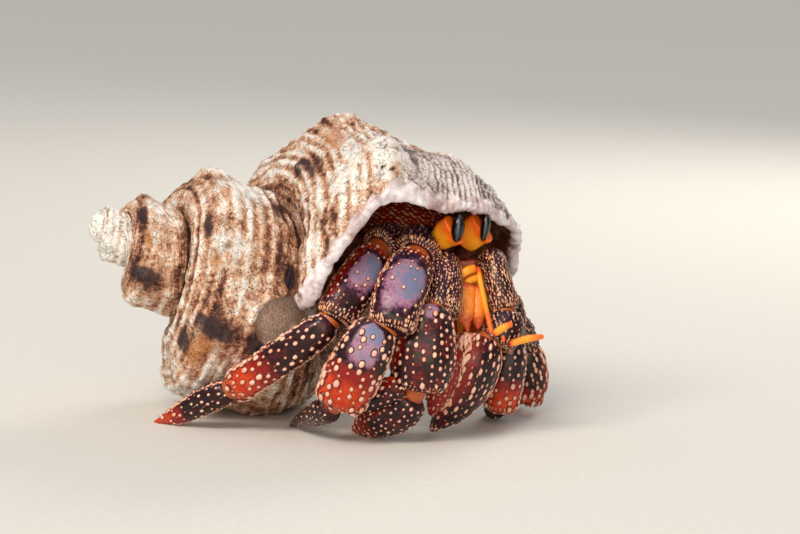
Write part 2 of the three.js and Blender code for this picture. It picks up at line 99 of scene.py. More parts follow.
def unit(vectors: Array) -> Array:
    """Scales each row vector to length one."""
    return vectors / np.maximum(np.linalg.norm(vectors, axis=-1, keepdims=True), 1e-12)


def value_noise(points: Array, size: float, seed: int) -> Array:
    """Smooth noise: a hashed number at each corner of a cubic lattice, blended by cubic weights.

    Args:
        points: (..., 3) positions.
        size: edge of a lattice cell, in the units of points.
        seed: number that picks one of many such noises.

    Returns:
        Numbers from -1 to 1.
    """
    scaled = points / size
    cell = np.floor(scaled).astype(np.int64)
    part = scaled - cell
    part = part * part * (3.0 - 2.0 * part)
    total = np.zeros(points.shape[:-1])
    for corner in itertools.product((0, 1), repeat=3):
        at = cell + np.array(corner)
        mixed = at[..., 0] * 73856093 ^ at[..., 1] * 19349663 ^ at[..., 2] * 83492791
        mixed = (mixed ^ seed * 2654435761) & 0xFFFFFFFF
        mixed = ((mixed ^ (mixed >> 13)) * 1274126177) & 0xFFFFFFFF
        number = ((mixed ^ (mixed >> 16)) & 0xFFFF) / 0xFFFF
        total += number * np.prod(np.where(np.array(corner) == 1, part, 1.0 - part), axis=-1)
    return 2.0 * total - 1.0


def layered_noise(points: Array, size: float, seed: int, layers: int = 3) -> Array:
    """Sum of noises, each with half the size and half the height of the one before."""
    total = sum(value_noise(points, size / 2**k, seed + k) / 2**k for k in range(layers))
    return total / (2.0 - 2.0 ** (1 - layers))


def closed_spline(values: Array, place: Array) -> Array:
    """Catmull-Rom curve through a closed row of values.

    Args:
        values: (n,) row that closes on itself.
        place: positions along the row as a share of its length; whole turns repeat.

    Returns:
        Interpolated values in the shape of place.
    """
    count = len(values)
    x = (place % 1.0) * count
    i = np.floor(x).astype(int) % count
    t = x - np.floor(x)
    a, b, c, d = (values[(i + k) % count] for k in (-1, 0, 1, 2))
    return 0.5 * (2 * b + (c - a) * t + (2 * a - 5 * b + 4 * c - d) * t**2 + (3 * b - a - 3 * c + d) * t**3)


def smooth_station(values: Sequence[float], place: Array) -> Array:
    """Catmull-Rom curve through equally spaced values, place from 0 to 1."""
    row = np.array([2 * values[0] - values[1], *values, 2 * values[-1] - values[-2]], float)
    x = np.clip(place, 0.0, 1.0) * (len(values) - 1)
    i = np.minimum(np.floor(x).astype(int), len(values) - 2)
    t = x - i
    a, b, c, d = (row[i + k] for k in range(4))
    return 0.5 * (2 * b + (c - a) * t + (2 * a - 5 * b + 4 * c - d) * t**2 + (3 * b - a - 3 * c + d) * t**3)


def path_points(path: Sequence[Triple], place: Array) -> Array:
    """Centripetal Catmull-Rom curve through the points of a path, each span for an equal share.

    Args:
        path: two or more points.
        place: (n,) positions from 0 to 1.

    Returns:
        (n, 3) points of the curve.
    """
    p = np.array(path, float)
    row = np.concatenate([[2 * p[0] - p[1]], p, [2 * p[-1] - p[-2]]])
    x = np.clip(place, 0.0, 1.0) * (len(p) - 1)
    i = np.minimum(np.floor(x).astype(int), len(p) - 2)
    t = (x - i)[:, None]
    a, b, c, d = (row[i + k] for k in range(4))
    ab, bc, cd = (np.sqrt(np.linalg.norm(q - r, axis=1))[:, None] for q, r in ((b, a), (c, b), (d, c)))
    start = bc * ((b - a) / ab - (c - a) / (ab + bc) + (c - b) / bc)
    end = bc * ((c - b) / bc - (d - b) / (bc + cd) + (d - c) / cd)
    return (b + start * t + (3 * (c - b) - 2 * start - end) * t**2
            + (2 * (b - c) + start + end) * t**3)


# ---------------------------------------------------------------- meshes


@dataclass
class Shape:
    """Faces on points in millimetres, with a bake map and float marks for each point."""

    points: Array
    quads: Array
    triangles: Array
    quad_uv: Array
    triangle_uv: Array
    marks: dict[str, Array] = field(default_factory=dict)

    def volume(self) -> float:
        """Signed volume: a sixth of the sum of the triple products of all triangles."""
        q, p = self.quads, self.points
        faces = np.concatenate([self.triangles, q[:, [0, 1, 2]], q[:, [0, 2, 3]]])
        a, b, c = (p[faces[:, k]] for k in range(3))
        return float(np.einsum("ij,ij->i", a, np.cross(b, c)).sum() / 6.0)

    def facing_out(self) -> "Shape":
        """Turns all faces round where the volume comes out negative."""
        if self.volume() >= 0.0:
            return self
        return Shape(self.points, self.quads[:, ::-1], self.triangles[:, ::-1],
                     self.quad_uv[:, ::-1], self.triangle_uv[:, ::-1], self.marks)


def joined(shapes: Sequence[Shape]) -> Shape:
    """Puts several shapes into one; a mark that a shape lacks is 0 on it."""
    starts = np.cumsum([0] + [len(s.points) for s in shapes[:-1]])
    names = sorted({name for s in shapes for name in s.marks})
    return Shape(
        np.concatenate([s.points for s in shapes]),
        np.concatenate([s.quads + n for s, n in zip(shapes, starts)]),
        np.concatenate([s.triangles + n for s, n in zip(shapes, starts)]),
        np.concatenate([s.quad_uv for s in shapes]),
        np.concatenate([s.triangle_uv for s in shapes]),
        {name: np.concatenate([s.marks.get(name, np.zeros(len(s.points))) for s in shapes])
         for name in names},
    )


def closed_grid(points: Array, marks: dict[str, Array] | None = None,
                tile: Tile = WHOLE) -> Shape:
    """Skin over rings of points, closed round each ring and by a fan at both ends.

    Args:
        points: (rows, columns, 3) rings.
        marks: name to (rows, columns) values.
        tile: lowest and highest corner of its part of the bake map.

    Returns:
        The closed shape, facing outwards, with its bake map equal to its own grid.
    """
    rows, columns = points.shape[:2]
    index = np.arange(rows * columns).reshape(rows, columns)
    after = np.roll(index, -1, axis=1)
    quads = np.stack([index[:-1], after[:-1], after[1:], index[1:]], -1).reshape(-1, 4)
    first, last = rows * columns, rows * columns + 1
    fans = np.concatenate([
        np.stack([np.full(columns, first), after[0], index[0]], -1),
        np.stack([np.full(columns, last), index[-1], after[-1]], -1),
    ])
    edge = 0.02
    across = np.arange(columns + 1) / columns
    along = edge + (1.0 - 2.0 * edge) * np.arange(rows) / (rows - 1)
    left, right = np.meshgrid(across[:-1], along), np.meshgrid(across[1:], along)
    corners = [np.stack(side, -1) for side in (left, right)]
    quad_uv = np.stack([corners[0][:-1], corners[1][:-1], corners[1][1:], corners[0][1:]], 2)
    quad_uv = quad_uv.reshape(-1, 4, 2)
    middle = (across[:-1] + across[1:]) / 2
    ends = []
    for pole, row, order in ((0.0, edge, (1, 0)), (1.0, 1.0 - edge, (0, 1))):
        tip = np.stack([middle, np.full(columns, pole)], -1)
        pair = [np.stack([across[k:columns + k], np.full(columns, row)], -1) for k in order]
        ends.append(np.stack([tip, *pair], 1))
    low, size = np.array(tile[:2]), np.array(tile[2:]) - np.array(tile[:2])
    flat = {}
    for name, value in (marks or {}).items():
        flat[name] = np.concatenate([value.ravel(), [value[0].mean()], [value[-1].mean()]])
    every = np.concatenate([points.reshape(-1, 3), [points[0].mean(0)], [points[-1].mean(0)]])
    fan_uv = np.concatenate(ends)
    return Shape(every, quads, fans, low + quad_uv * size, low + fan_uv * size, flat).facing_out()


def on_floor(points: Array) -> Array:
    """Presses what is below the floor up to it, so that the model rests on small flats."""
    return np.concatenate([points[..., :2], np.maximum(points[..., 2:], 0.0)], -1)


def grid_normals(points: Array, centres: Array) -> Array:
    """Unit normals of a grid closed round its columns, turned away from the centres.

    Args:
        points: (rows, columns, 3) grid.
        centres: (rows, columns or 1, 3) points inside it.

    Returns:
        (rows, columns, 3) unit vectors.
    """
    across = np.roll(points, -1, axis=1) - np.roll(points, 1, axis=1)
    along = np.gradient(points, axis=0)
    normal = unit(np.cross(across, along))
    side = np.sign(np.sum(normal * (points - centres), axis=-1, keepdims=True))
    return normal * np.where(side == 0, 1.0, side)


class Bead(Enum):
    """Small forms that are copied over a skin: sides, and the heights and radii of their rings.

    A pearl is a full dome in a shallow ring, a scale is a low one, and a bristle is a long cone.
    """

    PEARL = (8, (-0.35, -0.10, 0.10, 0.44, 0.66), (1.25, 1.12, 0.96, 0.78, 0.42), 0.76)
    SCALE = (6, (-0.30, 0.16, 0.42), (1.0, 0.90, 0.52), 0.52)
    BRISTLE = (3, (-0.06, 0.34, 0.70), (1.0, 0.85, 0.55), 1.0)

    def template(self) -> tuple[Array, Array, Array]:
        """Points, quads and triangles of one copy of radius 1 standing on the XY plane."""
        sides, heights, radii, top = self.value
        turn = TAU * np.arange(sides) / sides
        rings = [np.stack([r * np.cos(turn), r * np.sin(turn), np.full(sides, h)], -1)
                 for h, r in zip(heights, radii)]
        points = np.concatenate([*rings, [[0, 0, heights[0]]], [[0, 0, top]]])
        index = np.arange(len(rings) * sides).reshape(len(rings), sides)
        after = np.roll(index, -1, axis=1)
        quads = np.stack([index[:-1], after[:-1], after[1:], index[1:]], -1).reshape(-1, 4)
        foot, tip = len(points) - 2, len(points) - 1
        fans = np.concatenate([
            np.stack([np.full(sides, foot), after[0], index[0]], -1),
            np.stack([np.full(sides, tip), index[-1], after[-1]], -1),
        ])
        return points, quads, fans


def scattered(template: tuple[Array, Array, Array], at: Array, normal: Array, along: Array,
              radius: Array, stretch: Array, height: Array, root_uv: Array,
              marks: dict[str, Array]) -> Shape:
    """Copies a small template to many places on a skin and joins the copies.

    Each copy's X axis lies along the given direction, and its Z axis along the normal.

    Args:
        template: points, quads and triangles of one copy.
        at: (n, 3) roots.
        normal: (n, 3) unit directions away from the skin.
        along: (n, 3) directions of the X axis.
        radius: (n,) size of each copy.
        stretch: (n,) length along X over width.
        height: (n,) scale of the height over the radius.
        root_uv: (n, 2) place of each root on the bake map.
        marks: name to (n,) values, the same all over a copy.

    Returns:
        The joined shape, with a mark "rise" from 0 at the foot to 1 at the tip.
    """
    local, quads, fans = template
    first = unit(along - np.sum(along * normal, -1, keepdims=True) * normal)
    second = np.cross(normal, first)
    count, size = len(at), len(local)
    points = (at[:, None]
              + (local[:, 0] * (radius * stretch)[:, None])[..., None] * first[:, None]
              + (local[:, 1] * radius[:, None])[..., None] * second[:, None]
              + (local[:, 2] * (radius * height)[:, None])[..., None] * normal[:, None])
    start = (np.arange(count) * size)[:, None, None]
    spot = np.clip(local[:, :2], -1.0, 1.0) * PATCH / 2
    uv = root_uv[:, None] + spot
    rise = np.clip(local[:, 2] / local[:, 2].max(), 0.0, 1.0)
    kept = {name: np.repeat(value, size) for name, value in marks.items()}
    kept["rise"] = np.tile(rise, count)
    return Shape(on_floor(points.reshape(-1, 3)), (quads + start).reshape(-1, 4),
                 (fans + start).reshape(-1, 3), uv[:, quads].reshape(-1, 4, 2),
                 uv[:, fans].reshape(-1, 3, 2), kept).facing_out()


# ---------------------------------------------------------------- materials


def srgb(code: str) -> tuple[float, float, float, float]:
    """Linear colour of an sRGB hex code such as "#d9a066"."""
    parts = [int(code[k:k + 2], 16) / 255 for k in (1, 3, 5)]
    linear = [c / 12.92 if c <= 0.04045 else ((c + 0.055) / 1.055) ** 2.4 for c in parts]
    return (*linear, 1.0)


def add_node(tree: bpy.types.NodeTree, kind: str, inputs: dict[Any, Any] | None = None,
             **settings: Any) -> bpy.types.Node:
    """Adds a node with its settings and inputs.

    Args:
        tree: node tree of the material.
        kind: node type, such as "ShaderNodeMix".
        inputs: input name or number to a value, or to the output socket that feeds it.
        settings: properties of the node.

    Returns:
        The new node.
    """
    node = tree.nodes.new(kind)
    for name, value in settings.items():
        setattr(node, name, value)
    for key, value in (inputs or {}).items():
        if isinstance(value, bpy.types.NodeSocket):
            tree.links.new(value, node.inputs[key])
        else:
            node.inputs[key].default_value = value
    return node


class Brew:
    """A material in the making: short calls for what the finishes repeat."""

    def __init__(self, name: str) -> None:
        """Starts an empty material."""
        self.material = bpy.data.materials.new(name)
        self.material.use_nodes = True
        self.tree = self.material.node_tree
        self.tree.nodes.clear()
        self.place = add_node(self.tree, "ShaderNodeTexCoord").outputs["Object"]

    def mark(self, name: str) -> bpy.types.NodeSocket:
        """Float value that the mesh carries under this name."""
        return add_node(self.tree, "ShaderNodeAttribute", attribute_name=name).outputs["Fac"]

    def math(self, operation: str, a: Any, b: Any = 0.0, clamp: bool = False) -> bpy.types.NodeSocket:
        """Result of a sum, product or other operation on two numbers."""
        return add_node(self.tree, "ShaderNodeMath", {0: a, 1: b}, operation=operation,
                        use_clamp=clamp).outputs[0]

    def range(self, value: Any, low: float, high: float, start: float = 0.0, end: float = 1.0) -> Any:
        """Maps low..high smoothly to start..end, held at both ends."""
        return add_node(self.tree, "ShaderNodeMapRange", {0: value, 1: low, 2: high, 3: start, 4: end},
                        interpolation_type="SMOOTHSTEP").outputs[0]

    def vector(self, x: Any, y: Any, z: Any = 0.0) -> bpy.types.NodeSocket:
        """Vector of three numbers."""
        return add_node(self.tree, "ShaderNodeCombineXYZ", {0: x, 1: y, 2: z}).outputs[0]

    def noise(self, vector: Any, scale: float, detail: float = 4.0, rough: float = 0.55) -> Any:
        """Fractal noise from 0 to 1 at a scale in cells for each unit of the vector."""
        inputs = {"Vector": vector, "Scale": scale, "Detail": detail, "Roughness": rough}
        return add_node(self.tree, "ShaderNodeTexNoise", inputs).outputs["Fac"]

    def mix(self, share: Any, a: Any, b: Any) -> bpy.types.NodeSocket:
        """Colour a where share is 0 and b where it is 1; hex codes are allowed."""
        a, b = (srgb(c) if isinstance(c, str) else c for c in (a, b))
        return add_node(self.tree, "ShaderNodeMix", {0: share, 6: a, 7: b}, data_type="RGBA").outputs[2]

    def ramp(self, value: Any, stops: Sequence[tuple[float, str]]) -> bpy.types.NodeSocket:
        """Colour along a row of stops, each a value and a hex code."""
        node = add_node(self.tree, "ShaderNodeValToRGB", {0: value})
        points = node.color_ramp.elements
        for k, (place, code) in enumerate(stops):
            point = points[k] if k < 2 else points.new(place)
            point.position, point.color = place, srgb(code)
        return node.outputs[0]

    def plus(self, base: Any, value: Any, middle: float, weight: float) -> bpy.types.NodeSocket:
        """Adds a value less its middle, times its weight, to a base."""
        off = self.math("SUBTRACT", value, middle)
        return add_node(self.tree, "ShaderNodeMath", {0: off, 1: weight, 2: base},
                        operation="MULTIPLY_ADD").outputs[0]

    def total(self, *terms: tuple[Any, float, float]) -> bpy.types.NodeSocket:
        """Sum of terms, each a value less its middle, times its weight."""
        result: Any = 0.0
        for value, middle, weight in terms:
            result = self.plus(result, value, middle, weight)
        return result

    def bump(self, height: Any, depth_mm: float, strength: float = 1.0, normal: Any = None) -> Any:
        """Normal bent as by a relief of this depth."""
        inputs = {"Height": height, "Distance": depth_mm * MM, "Strength": strength}
        if normal is not None:
            inputs["Normal"] = normal
        return add_node(self.tree, "ShaderNodeBump", inputs).outputs[0]

    def finish(self, colour: Any, roughness: Any, normal: Any = None, **uniform: Any) -> bpy.types.Material:
        """Ends the material in a principled shader; uniform names use _ for spaces."""
        inputs: dict[Any, Any] = {"Base Color": colour, "Roughness": roughness}
        if normal is not None:
            inputs["Normal"] = normal
        inputs.update({name.replace("_", " "): value for name, value in uniform.items()})
        shader = add_node(self.tree, "ShaderNodeBsdfPrincipled", inputs)
        add_node(self.tree, "ShaderNodeOutputMaterial", {0: shader.outputs[0]})
        return self.material


@dataclass(frozen=True)
class WeatheredShell:
    """Aragonite shell of a turban snail, grown in spiral cords and then rolled about on a beach.

    That leaves pale worn crests over brown grooves with ragged edges, soil held in pits, purple
    stains, and a porcelain lip. Painted shade darkens the seams between whorls, a painted highlight
    lies on the tops of the whorls that face the light, and the gaps between the varix knobs are darker.
    """

    body: tuple[tuple[float, str], ...] = (
        (0.02, "#210c0a"), (0.15, "#5c2f20"), (0.28, "#9b6146"), (0.43, "#c8926f"),
        (0.58, "#e2b999"), (0.75, "#f1dccb"), (0.93, "#fdfaf5"))
    grey: tuple[tuple[float, str], ...] = (
        (0.10, "#3c2b2a"), (0.30, "#745d58"), (0.50, "#a8928c"), (0.70, "#d5c6bf"), (0.92, "#f3ebe8"))
    # Colour of the stains, also used for the painted shade in the seams between whorls.
    stain: str = "#2b1a22"
    amber: str = "#cf8542"
    porcelain: tuple[tuple[float, str], ...] = (
        (0.10, "#7b5145"), (0.32, "#a8877e"), (0.54, "#cdbabb"), (0.76, "#e9e2e6"), (0.95, "#f8f6f6"))
    callus: tuple[tuple[float, str], ...] = ((0.2, "#8d6a58"), (0.5, "#b99b89"), (0.8, "#dac6b8"))
    inside: tuple[tuple[float, str], ...] = ((0.25, "#6a3218"), (0.5, "#a8653c"), (0.8, "#c99a72"))

    def make(self) -> bpy.types.Material:
        """Builds the material from marks for cords, wear with painted highlight, stains with painted seam
        shade, amber, grey, callus, lip and inside.
        """
        b = Brew("weathered_turban_shell")
        cord, worn, lip, inner = b.mark("cord"), b.mark("worn"), b.mark("lip"), b.mark("inner")
        grit = b.noise(b.place, 5200.0, 2.0, 0.7)        # sand-sized pits, 0.2 mm
        fine = b.noise(b.place, 2300.0, 5.0, 0.72)       # ragged edges, 0.4 mm
        blot = b.noise(b.place, 850.0, 4.0, 0.62)        # flaked spots, 1.2 mm
        patch = b.noise(b.place, 330.0, 4.0, 0.6)        # worn patches, 3 mm
        broad = b.noise(b.place, 120.0, 3.0, 0.5)        # stained regions, 8 mm
        # Wear and the painted highlight lift the tone; stains and the painted seam shade lower it.
        tone = b.total((cord, 0.30, 0.50), (fine, 0.5, 1.3), (blot, 0.5, 1.1), (patch, 0.5, 1.0),
                       (broad, 0.5, 0.8), (worn, 0.30, 0.45), (b.mark("stain"), 0.0, -0.40),
                       (grit, 0.5, 0.6))
        tone = b.plus(b.math("ADD", tone, 0.64), b.mark("streak"), 0.0, 0.22)
        colour = b.ramp(tone, self.body)
        colour = b.mix(b.mark("greyed"), colour, b.ramp(b.plus(tone, cord, 0.3, 0.25), self.grey))
        warm = b.total((b.mark("amber"), 0.0, 1.0), (patch, 0.5, 1.5), (cord, 0.5, 0.25))
        colour = b.mix(b.math("MULTIPLY", b.range(warm, 0.30, 0.75), 0.72), colour, self.amber)
        seam = b.math("ABSOLUTE", b.math("SUBTRACT", b.noise(b.place, 560.0, 3.0, 0.6), 0.5))
        crack = b.total((b.range(seam, 0.022, 0.006), 0.0, 1.0), (patch, 0.52, -3.0))
        colour = b.mix(b.math("MULTIPLY", b.range(crack, 0.2, 0.9), 0.6), colour, "#4a261b")
        # Soil sits in the grooves as separate dark specks about 0.4 mm across.
        cells = add_node(b.tree, "ShaderNodeTexVoronoi", {"Vector": b.place, "Scale": 2300.0})
        speck = cells.outputs["Distance"]
        soil = b.total((speck, 0.20, -1.0), (cord, 0.5, -0.30), (fine, 0.5, 0.9), (worn, 0.3, -0.15))
        colour = b.mix(b.math("MULTIPLY", b.range(soil, 0.02, 0.14), 0.85), colour, "#3a1d16")
        # Purple-brown stains, and painted shade in the seams between whorls.
        dark = b.total((b.mark("stain"), 0.0, 0.72), (patch, 0.5, 1.5), (fine, 0.5, 0.8), (cord, 0.5, -0.2))
        colour = b.mix(b.math("MULTIPLY", b.range(dark, 0.36, 0.62), 0.90), colour, self.stain)
        depth = b.total((patch, 0.5, 1.2), (fine, 0.5, 0.5), (b.mark("stain"), 0.0, -0.8))
        colour = b.mix(b.range(inner, 0.2, 0.8), colour, b.ramp(b.math("ADD", depth, 0.55), self.inside))
        gloss = b.total((blot, 0.5, 1.0), (patch, 0.5, 1.1), (broad, 0.5, 0.8), (lip, 1.0, 0.3))
        rim = b.total((lip, 0.0, 1.0), (fine, 0.5, 1.0), (blot, 0.5, 0.8))
        colour = b.mix(b.range(rim, 0.35, 0.65), colour,
                       b.ramp(b.math("ADD", gloss, 0.62), self.porcelain))
        pad = b.total((b.noise(b.place, 5200.0, 2.0), 0.5, 1.6), (patch, 0.5, 0.5))
        colour = b.mix(b.mark("callus"), colour, b.ramp(b.math("ADD", pad, 0.5), self.callus))
        relief = b.total((fine, 0.5, 1.0), (grit, 0.5, 0.6))
        relief = b.math("MULTIPLY", relief, b.math("SUBTRACT", 1.0, b.math("MULTIPLY", lip, 0.7)))
        rough = b.math("SUBTRACT", b.range(fine, 0.3, 0.7, 0.62, 0.82), b.math("MULTIPLY", lip, 0.25))
        return b.finish(colour, rough, b.bump(relief, 0.30, 0.9), IOR=1.53)


@dataclass(frozen=True)
class CrabPlate:
    """Calcified cuticle of the legs: hard, dark maroon, with a varnished outer layer.

    Broad bluish highlights are painted in: a painted sky sheen on faces that look up, and a painted
    sky reflection on the smooth shields. The ends of the joints run to orange-red.
    """

    name: str = "maroon_cuticle"
    dark: tuple[tuple[float, str], ...] = ((0.30, "#0a0306"), (0.52, "#300810"), (0.76, "#6e1616"))
    red: str = "#8a1208"
    orange: str = "#dd440a"
    # Colours of the painted sky sheen, and of the painted sky reflection on the smooth shields.
    painted_sheen: str = "#3f3454"
    reflection_ramp: tuple[tuple[float, str], ...] = (
        (0.05, "#1f0a1c"), (0.26, "#4b2540"), (0.46, "#8f5b78"), (0.64, "#ad849b"), (0.80, "#837d9f"),
        (0.98, "#7482a2"))

    def make(self) -> bpy.types.Material:
        """Builds the material from the mark red and the two marks of the painted sky reflection."""
        b = Brew(self.name)
        cloud = b.noise(b.place, 420.0, 4.0, 0.6)          # 2.4 mm clouds
        grain = b.noise(b.place, 1900.0, 5.0, 0.68)        # 0.5 mm grain
        mottle = b.total((cloud, 0.5, 0.9), (grain, 0.5, 0.8))
        colour = b.ramp(b.math("ADD", mottle, 0.46), self.dark)
        # Painted sky sheen: faces that look up turn bluish.
        upward = add_node(b.tree, "ShaderNodeSeparateXYZ",
                          {0: add_node(b.tree, "ShaderNodeNewGeometry").outputs["Normal"]}).outputs[2]
        sky = b.total((b.range(upward, 0.1, 0.9), 0.0, 0.50), (mottle, 0.0, 0.8))
        colour = b.mix(b.math("MULTIPLY", b.range(sky, 0.15, 0.75), 0.55), colour, self.painted_sheen)
        red = b.total((b.mark("red"), 0.0, 1.0), (mottle, 0.0, 0.7))
        colour = b.mix(b.range(red, 0.22, 0.60), colour, self.red)
        colour = b.mix(b.range(red, 0.80, 1.35), colour, self.orange)
        # Painted sky reflection on the smooth shield, fading across it from blue-grey to mauve.
        bloom = b.total((b.mark("bloom"), 0.0, 1.0), (mottle, 0.0, 1.1))
        tone = b.total((b.mark("cool"), 0.0, 0.55), (mottle, 0.0, 1.2), (b.mark("bloom"), 1.0, 0.6))
        gloss = b.ramp(b.math("ADD", tone, 0.46), self.reflection_ramp)
        colour = b.mix(b.math("MULTIPLY", b.range(bloom, 0.28, 0.72), 0.92), colour, gloss)
        return b.finish(colour, b.range(grain, 0.3, 0.7, 0.26, 0.46), b.bump(mottle, 0.10, 0.6),
                        IOR=1.56, Specular_IOR_Level=0.22, Coat_Weight=0.28, Coat_Roughness=0.14)


@dataclass(frozen=True)
class PearlStud:
    """Chitin studs with a pale, slightly translucent dome in a dark ring, painted shade round the foot."""

    name: str = "pearl_stud"
    foot: str = "#1d070b"
    rust: str = "#a5401c"
    tan: str = "#cd8a62"
    pearl: str = "#f3c8ae"
    pink: str = "#e6a092"

    def make(self) -> bpy.types.Material:
        """Builds the material from the marks rise, tone, hue and warm."""
        b = Brew(self.name)
        rise, hue = b.mark("rise"), b.mark("hue")
        grain = b.noise(b.place, 4200.0, 2.0)
        tone = b.math("ADD", b.mark("tone"), b.math("MULTIPLY", b.math("SUBTRACT", grain, 0.5), 0.4))
        dome = b.mix(b.range(tone, 0.1, 0.8), self.tan, self.pearl)
        dome = b.mix(b.math("MULTIPLY", b.range(hue, 0.55, 0.75), 0.6), dome, self.pink)
        dome = b.mix(b.math("MULTIPLY", b.range(hue, 0.42, 0.22), 0.5), dome, "#e0843f")
        # Dark foot ring: painted shade round the base of each bead, dark red on the red ends.
        foot = b.mix(b.range(b.mark("warm"), 0.3, 0.9), self.foot, "#6a150a")
        colour = b.mix(b.range(rise, 0.26, 0.48), foot, self.rust)
        colour = b.mix(b.range(rise, 0.42, 0.70), colour, dome)
        return b.finish(colour, 0.34, IOR=1.5, Specular_IOR_Level=0.35, Coat_Weight=0.4,
                        Coat_Roughness=0.10)


@dataclass(frozen=True)
class OrangeCuticle:
    """Thin translucent cuticle over orange tissue, of the eyestalks, feelers and mouthparts."""

    name: str = "orange_cuticle"
    yellow: str = "#ffa41f"
    orange: str = "#f96a04"
    rust: str = "#b02c08"
    cell_mm: float = 1.3

    def make(self) -> bpy.types.Material:
        """Builds the material from the mark shade, 0 pale to 1 rust."""
        b = Brew(self.name)
        cloud = b.noise(b.place, 1.0 / (self.cell_mm * MM), 4.0, 0.6)
        grain = b.noise(b.place, 3800.0, 3.0)
        tone = b.math("ADD", b.mark("shade"), b.math("MULTIPLY", b.math("SUBTRACT", cloud, 0.5), 0.9))
        colour = b.mix(b.range(tone, 0.05, 0.5), self.yellow, self.orange)
        colour = b.mix(b.range(tone, 0.62, 1.05), colour, self.rust)
        colour = b.mix(b.math("MULTIPLY", b.range(grain, 0.6, 0.75), 0.25), colour, "#ffd08a")
        return b.finish(colour, b.range(grain, 0.3, 0.7, 0.32, 0.5), b.bump(grain, 0.05, 0.6),
                        IOR=1.5, Subsurface_Weight=0.25, Subsurface_Scale=0.6 * MM,
                        Coat_Weight=0.15, Coat_Roughness=0.2)


@dataclass(frozen=True)
class FacetedEye:
    """Compound eye: black pigment under a clear lens layer, with facets of about 0.04 mm."""

    pigment: str = "#040305"
    painted_glint: str = "#4c4a55"
    facet_mm: float = 0.09     # drawn twice as coarse as the real facets so that they show

    def make(self) -> bpy.types.Material:
        """Builds the material from the mark band, 1 along the painted upright highlight."""
        b = Brew("faceted_eye")
        cells = add_node(b.tree, "ShaderNodeTexVoronoi",
                         {"Vector": b.place, "Scale": 1.0 / (self.facet_mm * MM)}).outputs["Distance"]
        # Painted highlight: a grey upright stripe down the front of the eye, broken up by noise.
        painted_glint = b.math("MULTIPLY", b.mark("band"), b.noise(b.place, 900.0, 3.0))
        colour = b.mix(b.range(painted_glint, 0.1, 0.6), self.pigment, self.painted_glint)
        return b.finish(colour, 0.20, b.bump(cells, 0.01, 0.30), IOR=1.5, Specular_IOR_Level=0.2,
                        Coat_Weight=0.6, Coat_Roughness=0.03)


@dataclass(frozen=True)
class SoftSkin:
    """Unhardened skin of the belly and of the small inner legs: thin, damp and finely wrinkled."""

    pale: str = "#a95f45"
    pink: str = "#7c2e22"
    vein: str = "#401419"

    def make(self) -> bpy.types.Material:
        """Builds the material; its wrinkles are about 0.5 mm apart."""
        b = Brew("soft_skin")
        cloud = b.noise(b.place, 260.0, 4.0)
        wrinkle = b.noise(b.place, 2000.0, 3.0, 0.6)
        colour = b.mix(b.range(cloud, 0.35, 0.65), self.pale, self.pink)
        colour = b.mix(b.math("MULTIPLY", b.range(wrinkle, 0.58, 0.7), 0.6), colour, self.vein)
        return b.finish(colour, b.range(wrinkle, 0.3, 0.7, 0.38, 0.6), b.bump(wrinkle, 0.12, 0.7),
                        IOR=1.42, Subsurface_Weight=0.3, Subsurface_Scale=1.0 * MM)


@dataclass(frozen=True)
class Bristle:
    """Stiff tan hairs between the studs, darker at the root."""

    root: str = "#5a2a18"
    tip: str = "#c59a6a"

    def make(self) -> bpy.types.Material:
        """Builds the material from the mark rise."""
        b = Brew("tan_bristle")
        streak = b.math("MULTIPLY", b.noise(b.place, 900.0), 0.4)
        colour = b.mix(b.range(b.math("ADD", b.mark("rise"), streak), 0.2, 0.9), self.root, self.tip)
        return b.finish(colour, 0.5, IOR=1.5)


@dataclass(frozen=True)
class StudioFloor:
    """Matt pale paper under the model."""

    light: str = "#e3e1dc"

    def make(self) -> bpy.types.Material:
        """Builds the material, with fibres too fine to show as clouds."""
        b = Brew("pale_paper")
        fibre = b.noise(b.place, 900.0, 2.0)
        return b.finish(b.mix(b.range(fibre, 0.3, 0.7, 0.0, 0.3), self.light, "#d6d3cc"), 0.95,
                        Specular_IOR_Level=0.1)


# ---------------------------------------------------------------- pieces in the shared frame


@dataclass
class Bench:
    """Turns shapes in design millimetres into finished pieces in the shared frame."""

    shift: Array
    faces: int = 0

    def piece(self, name: str, shape: Shape, material: bpy.types.Material, slot: str,
              replaces: Sequence[str] = (), merge: float = 0.0) -> bpy.types.Object:
        """Makes one piece, dresses it and hides the solids that it stands for.

        Args:
            name: piece name.
            shape: its faces, in design millimetres.
            material: its finish.
            slot: the record's material slot; not used.
            replaces: solids that it stands for.
            merge: cell size in mm at which overlapping parts become one skin, or 0 to leave them.

        Returns:
            The new object.
        """
        mesh = bpy.data.meshes.new(name)
        places = (shape.points + self.shift) * MM
        mesh.from_pydata(places, [], shape.quads.tolist() + shape.triangles.tolist())
        mesh.polygons.foreach_set("use_smooth", np.ones(len(mesh.polygons), bool))
        layer = mesh.uv_layers.new(name="OFBake")
        uv = np.concatenate([shape.quad_uv.reshape(-1, 2), shape.triangle_uv.reshape(-1, 2)])
        layer.uv.foreach_set("vector", uv.astype(np.float32).ravel())
        for mark, value in shape.marks.items():
            mesh.attributes.new(mark, "FLOAT", "POINT").data.foreach_set("value", value.astype(np.float32))
        mesh.materials.append(material)
        piece = bpy.data.objects.new(name, mesh)
        bpy.context.scene.collection.objects.link(piece)
        if merge:
            skin = piece.modifiers.new("one_skin", "REMESH")
            skin.mode, skin.voxel_size, skin.use_smooth_shade = "VOXEL", merge * MM, True
        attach(piece, "root")
        if replaces:
            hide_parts(*replaces)
        count = 2 * len(shape.quads) + len(shape.triangles)
        self.faces += count
        LOG.info("%s: %d triangles", name, count)
        return piece


# ---------------------------------------------------------------- the shell


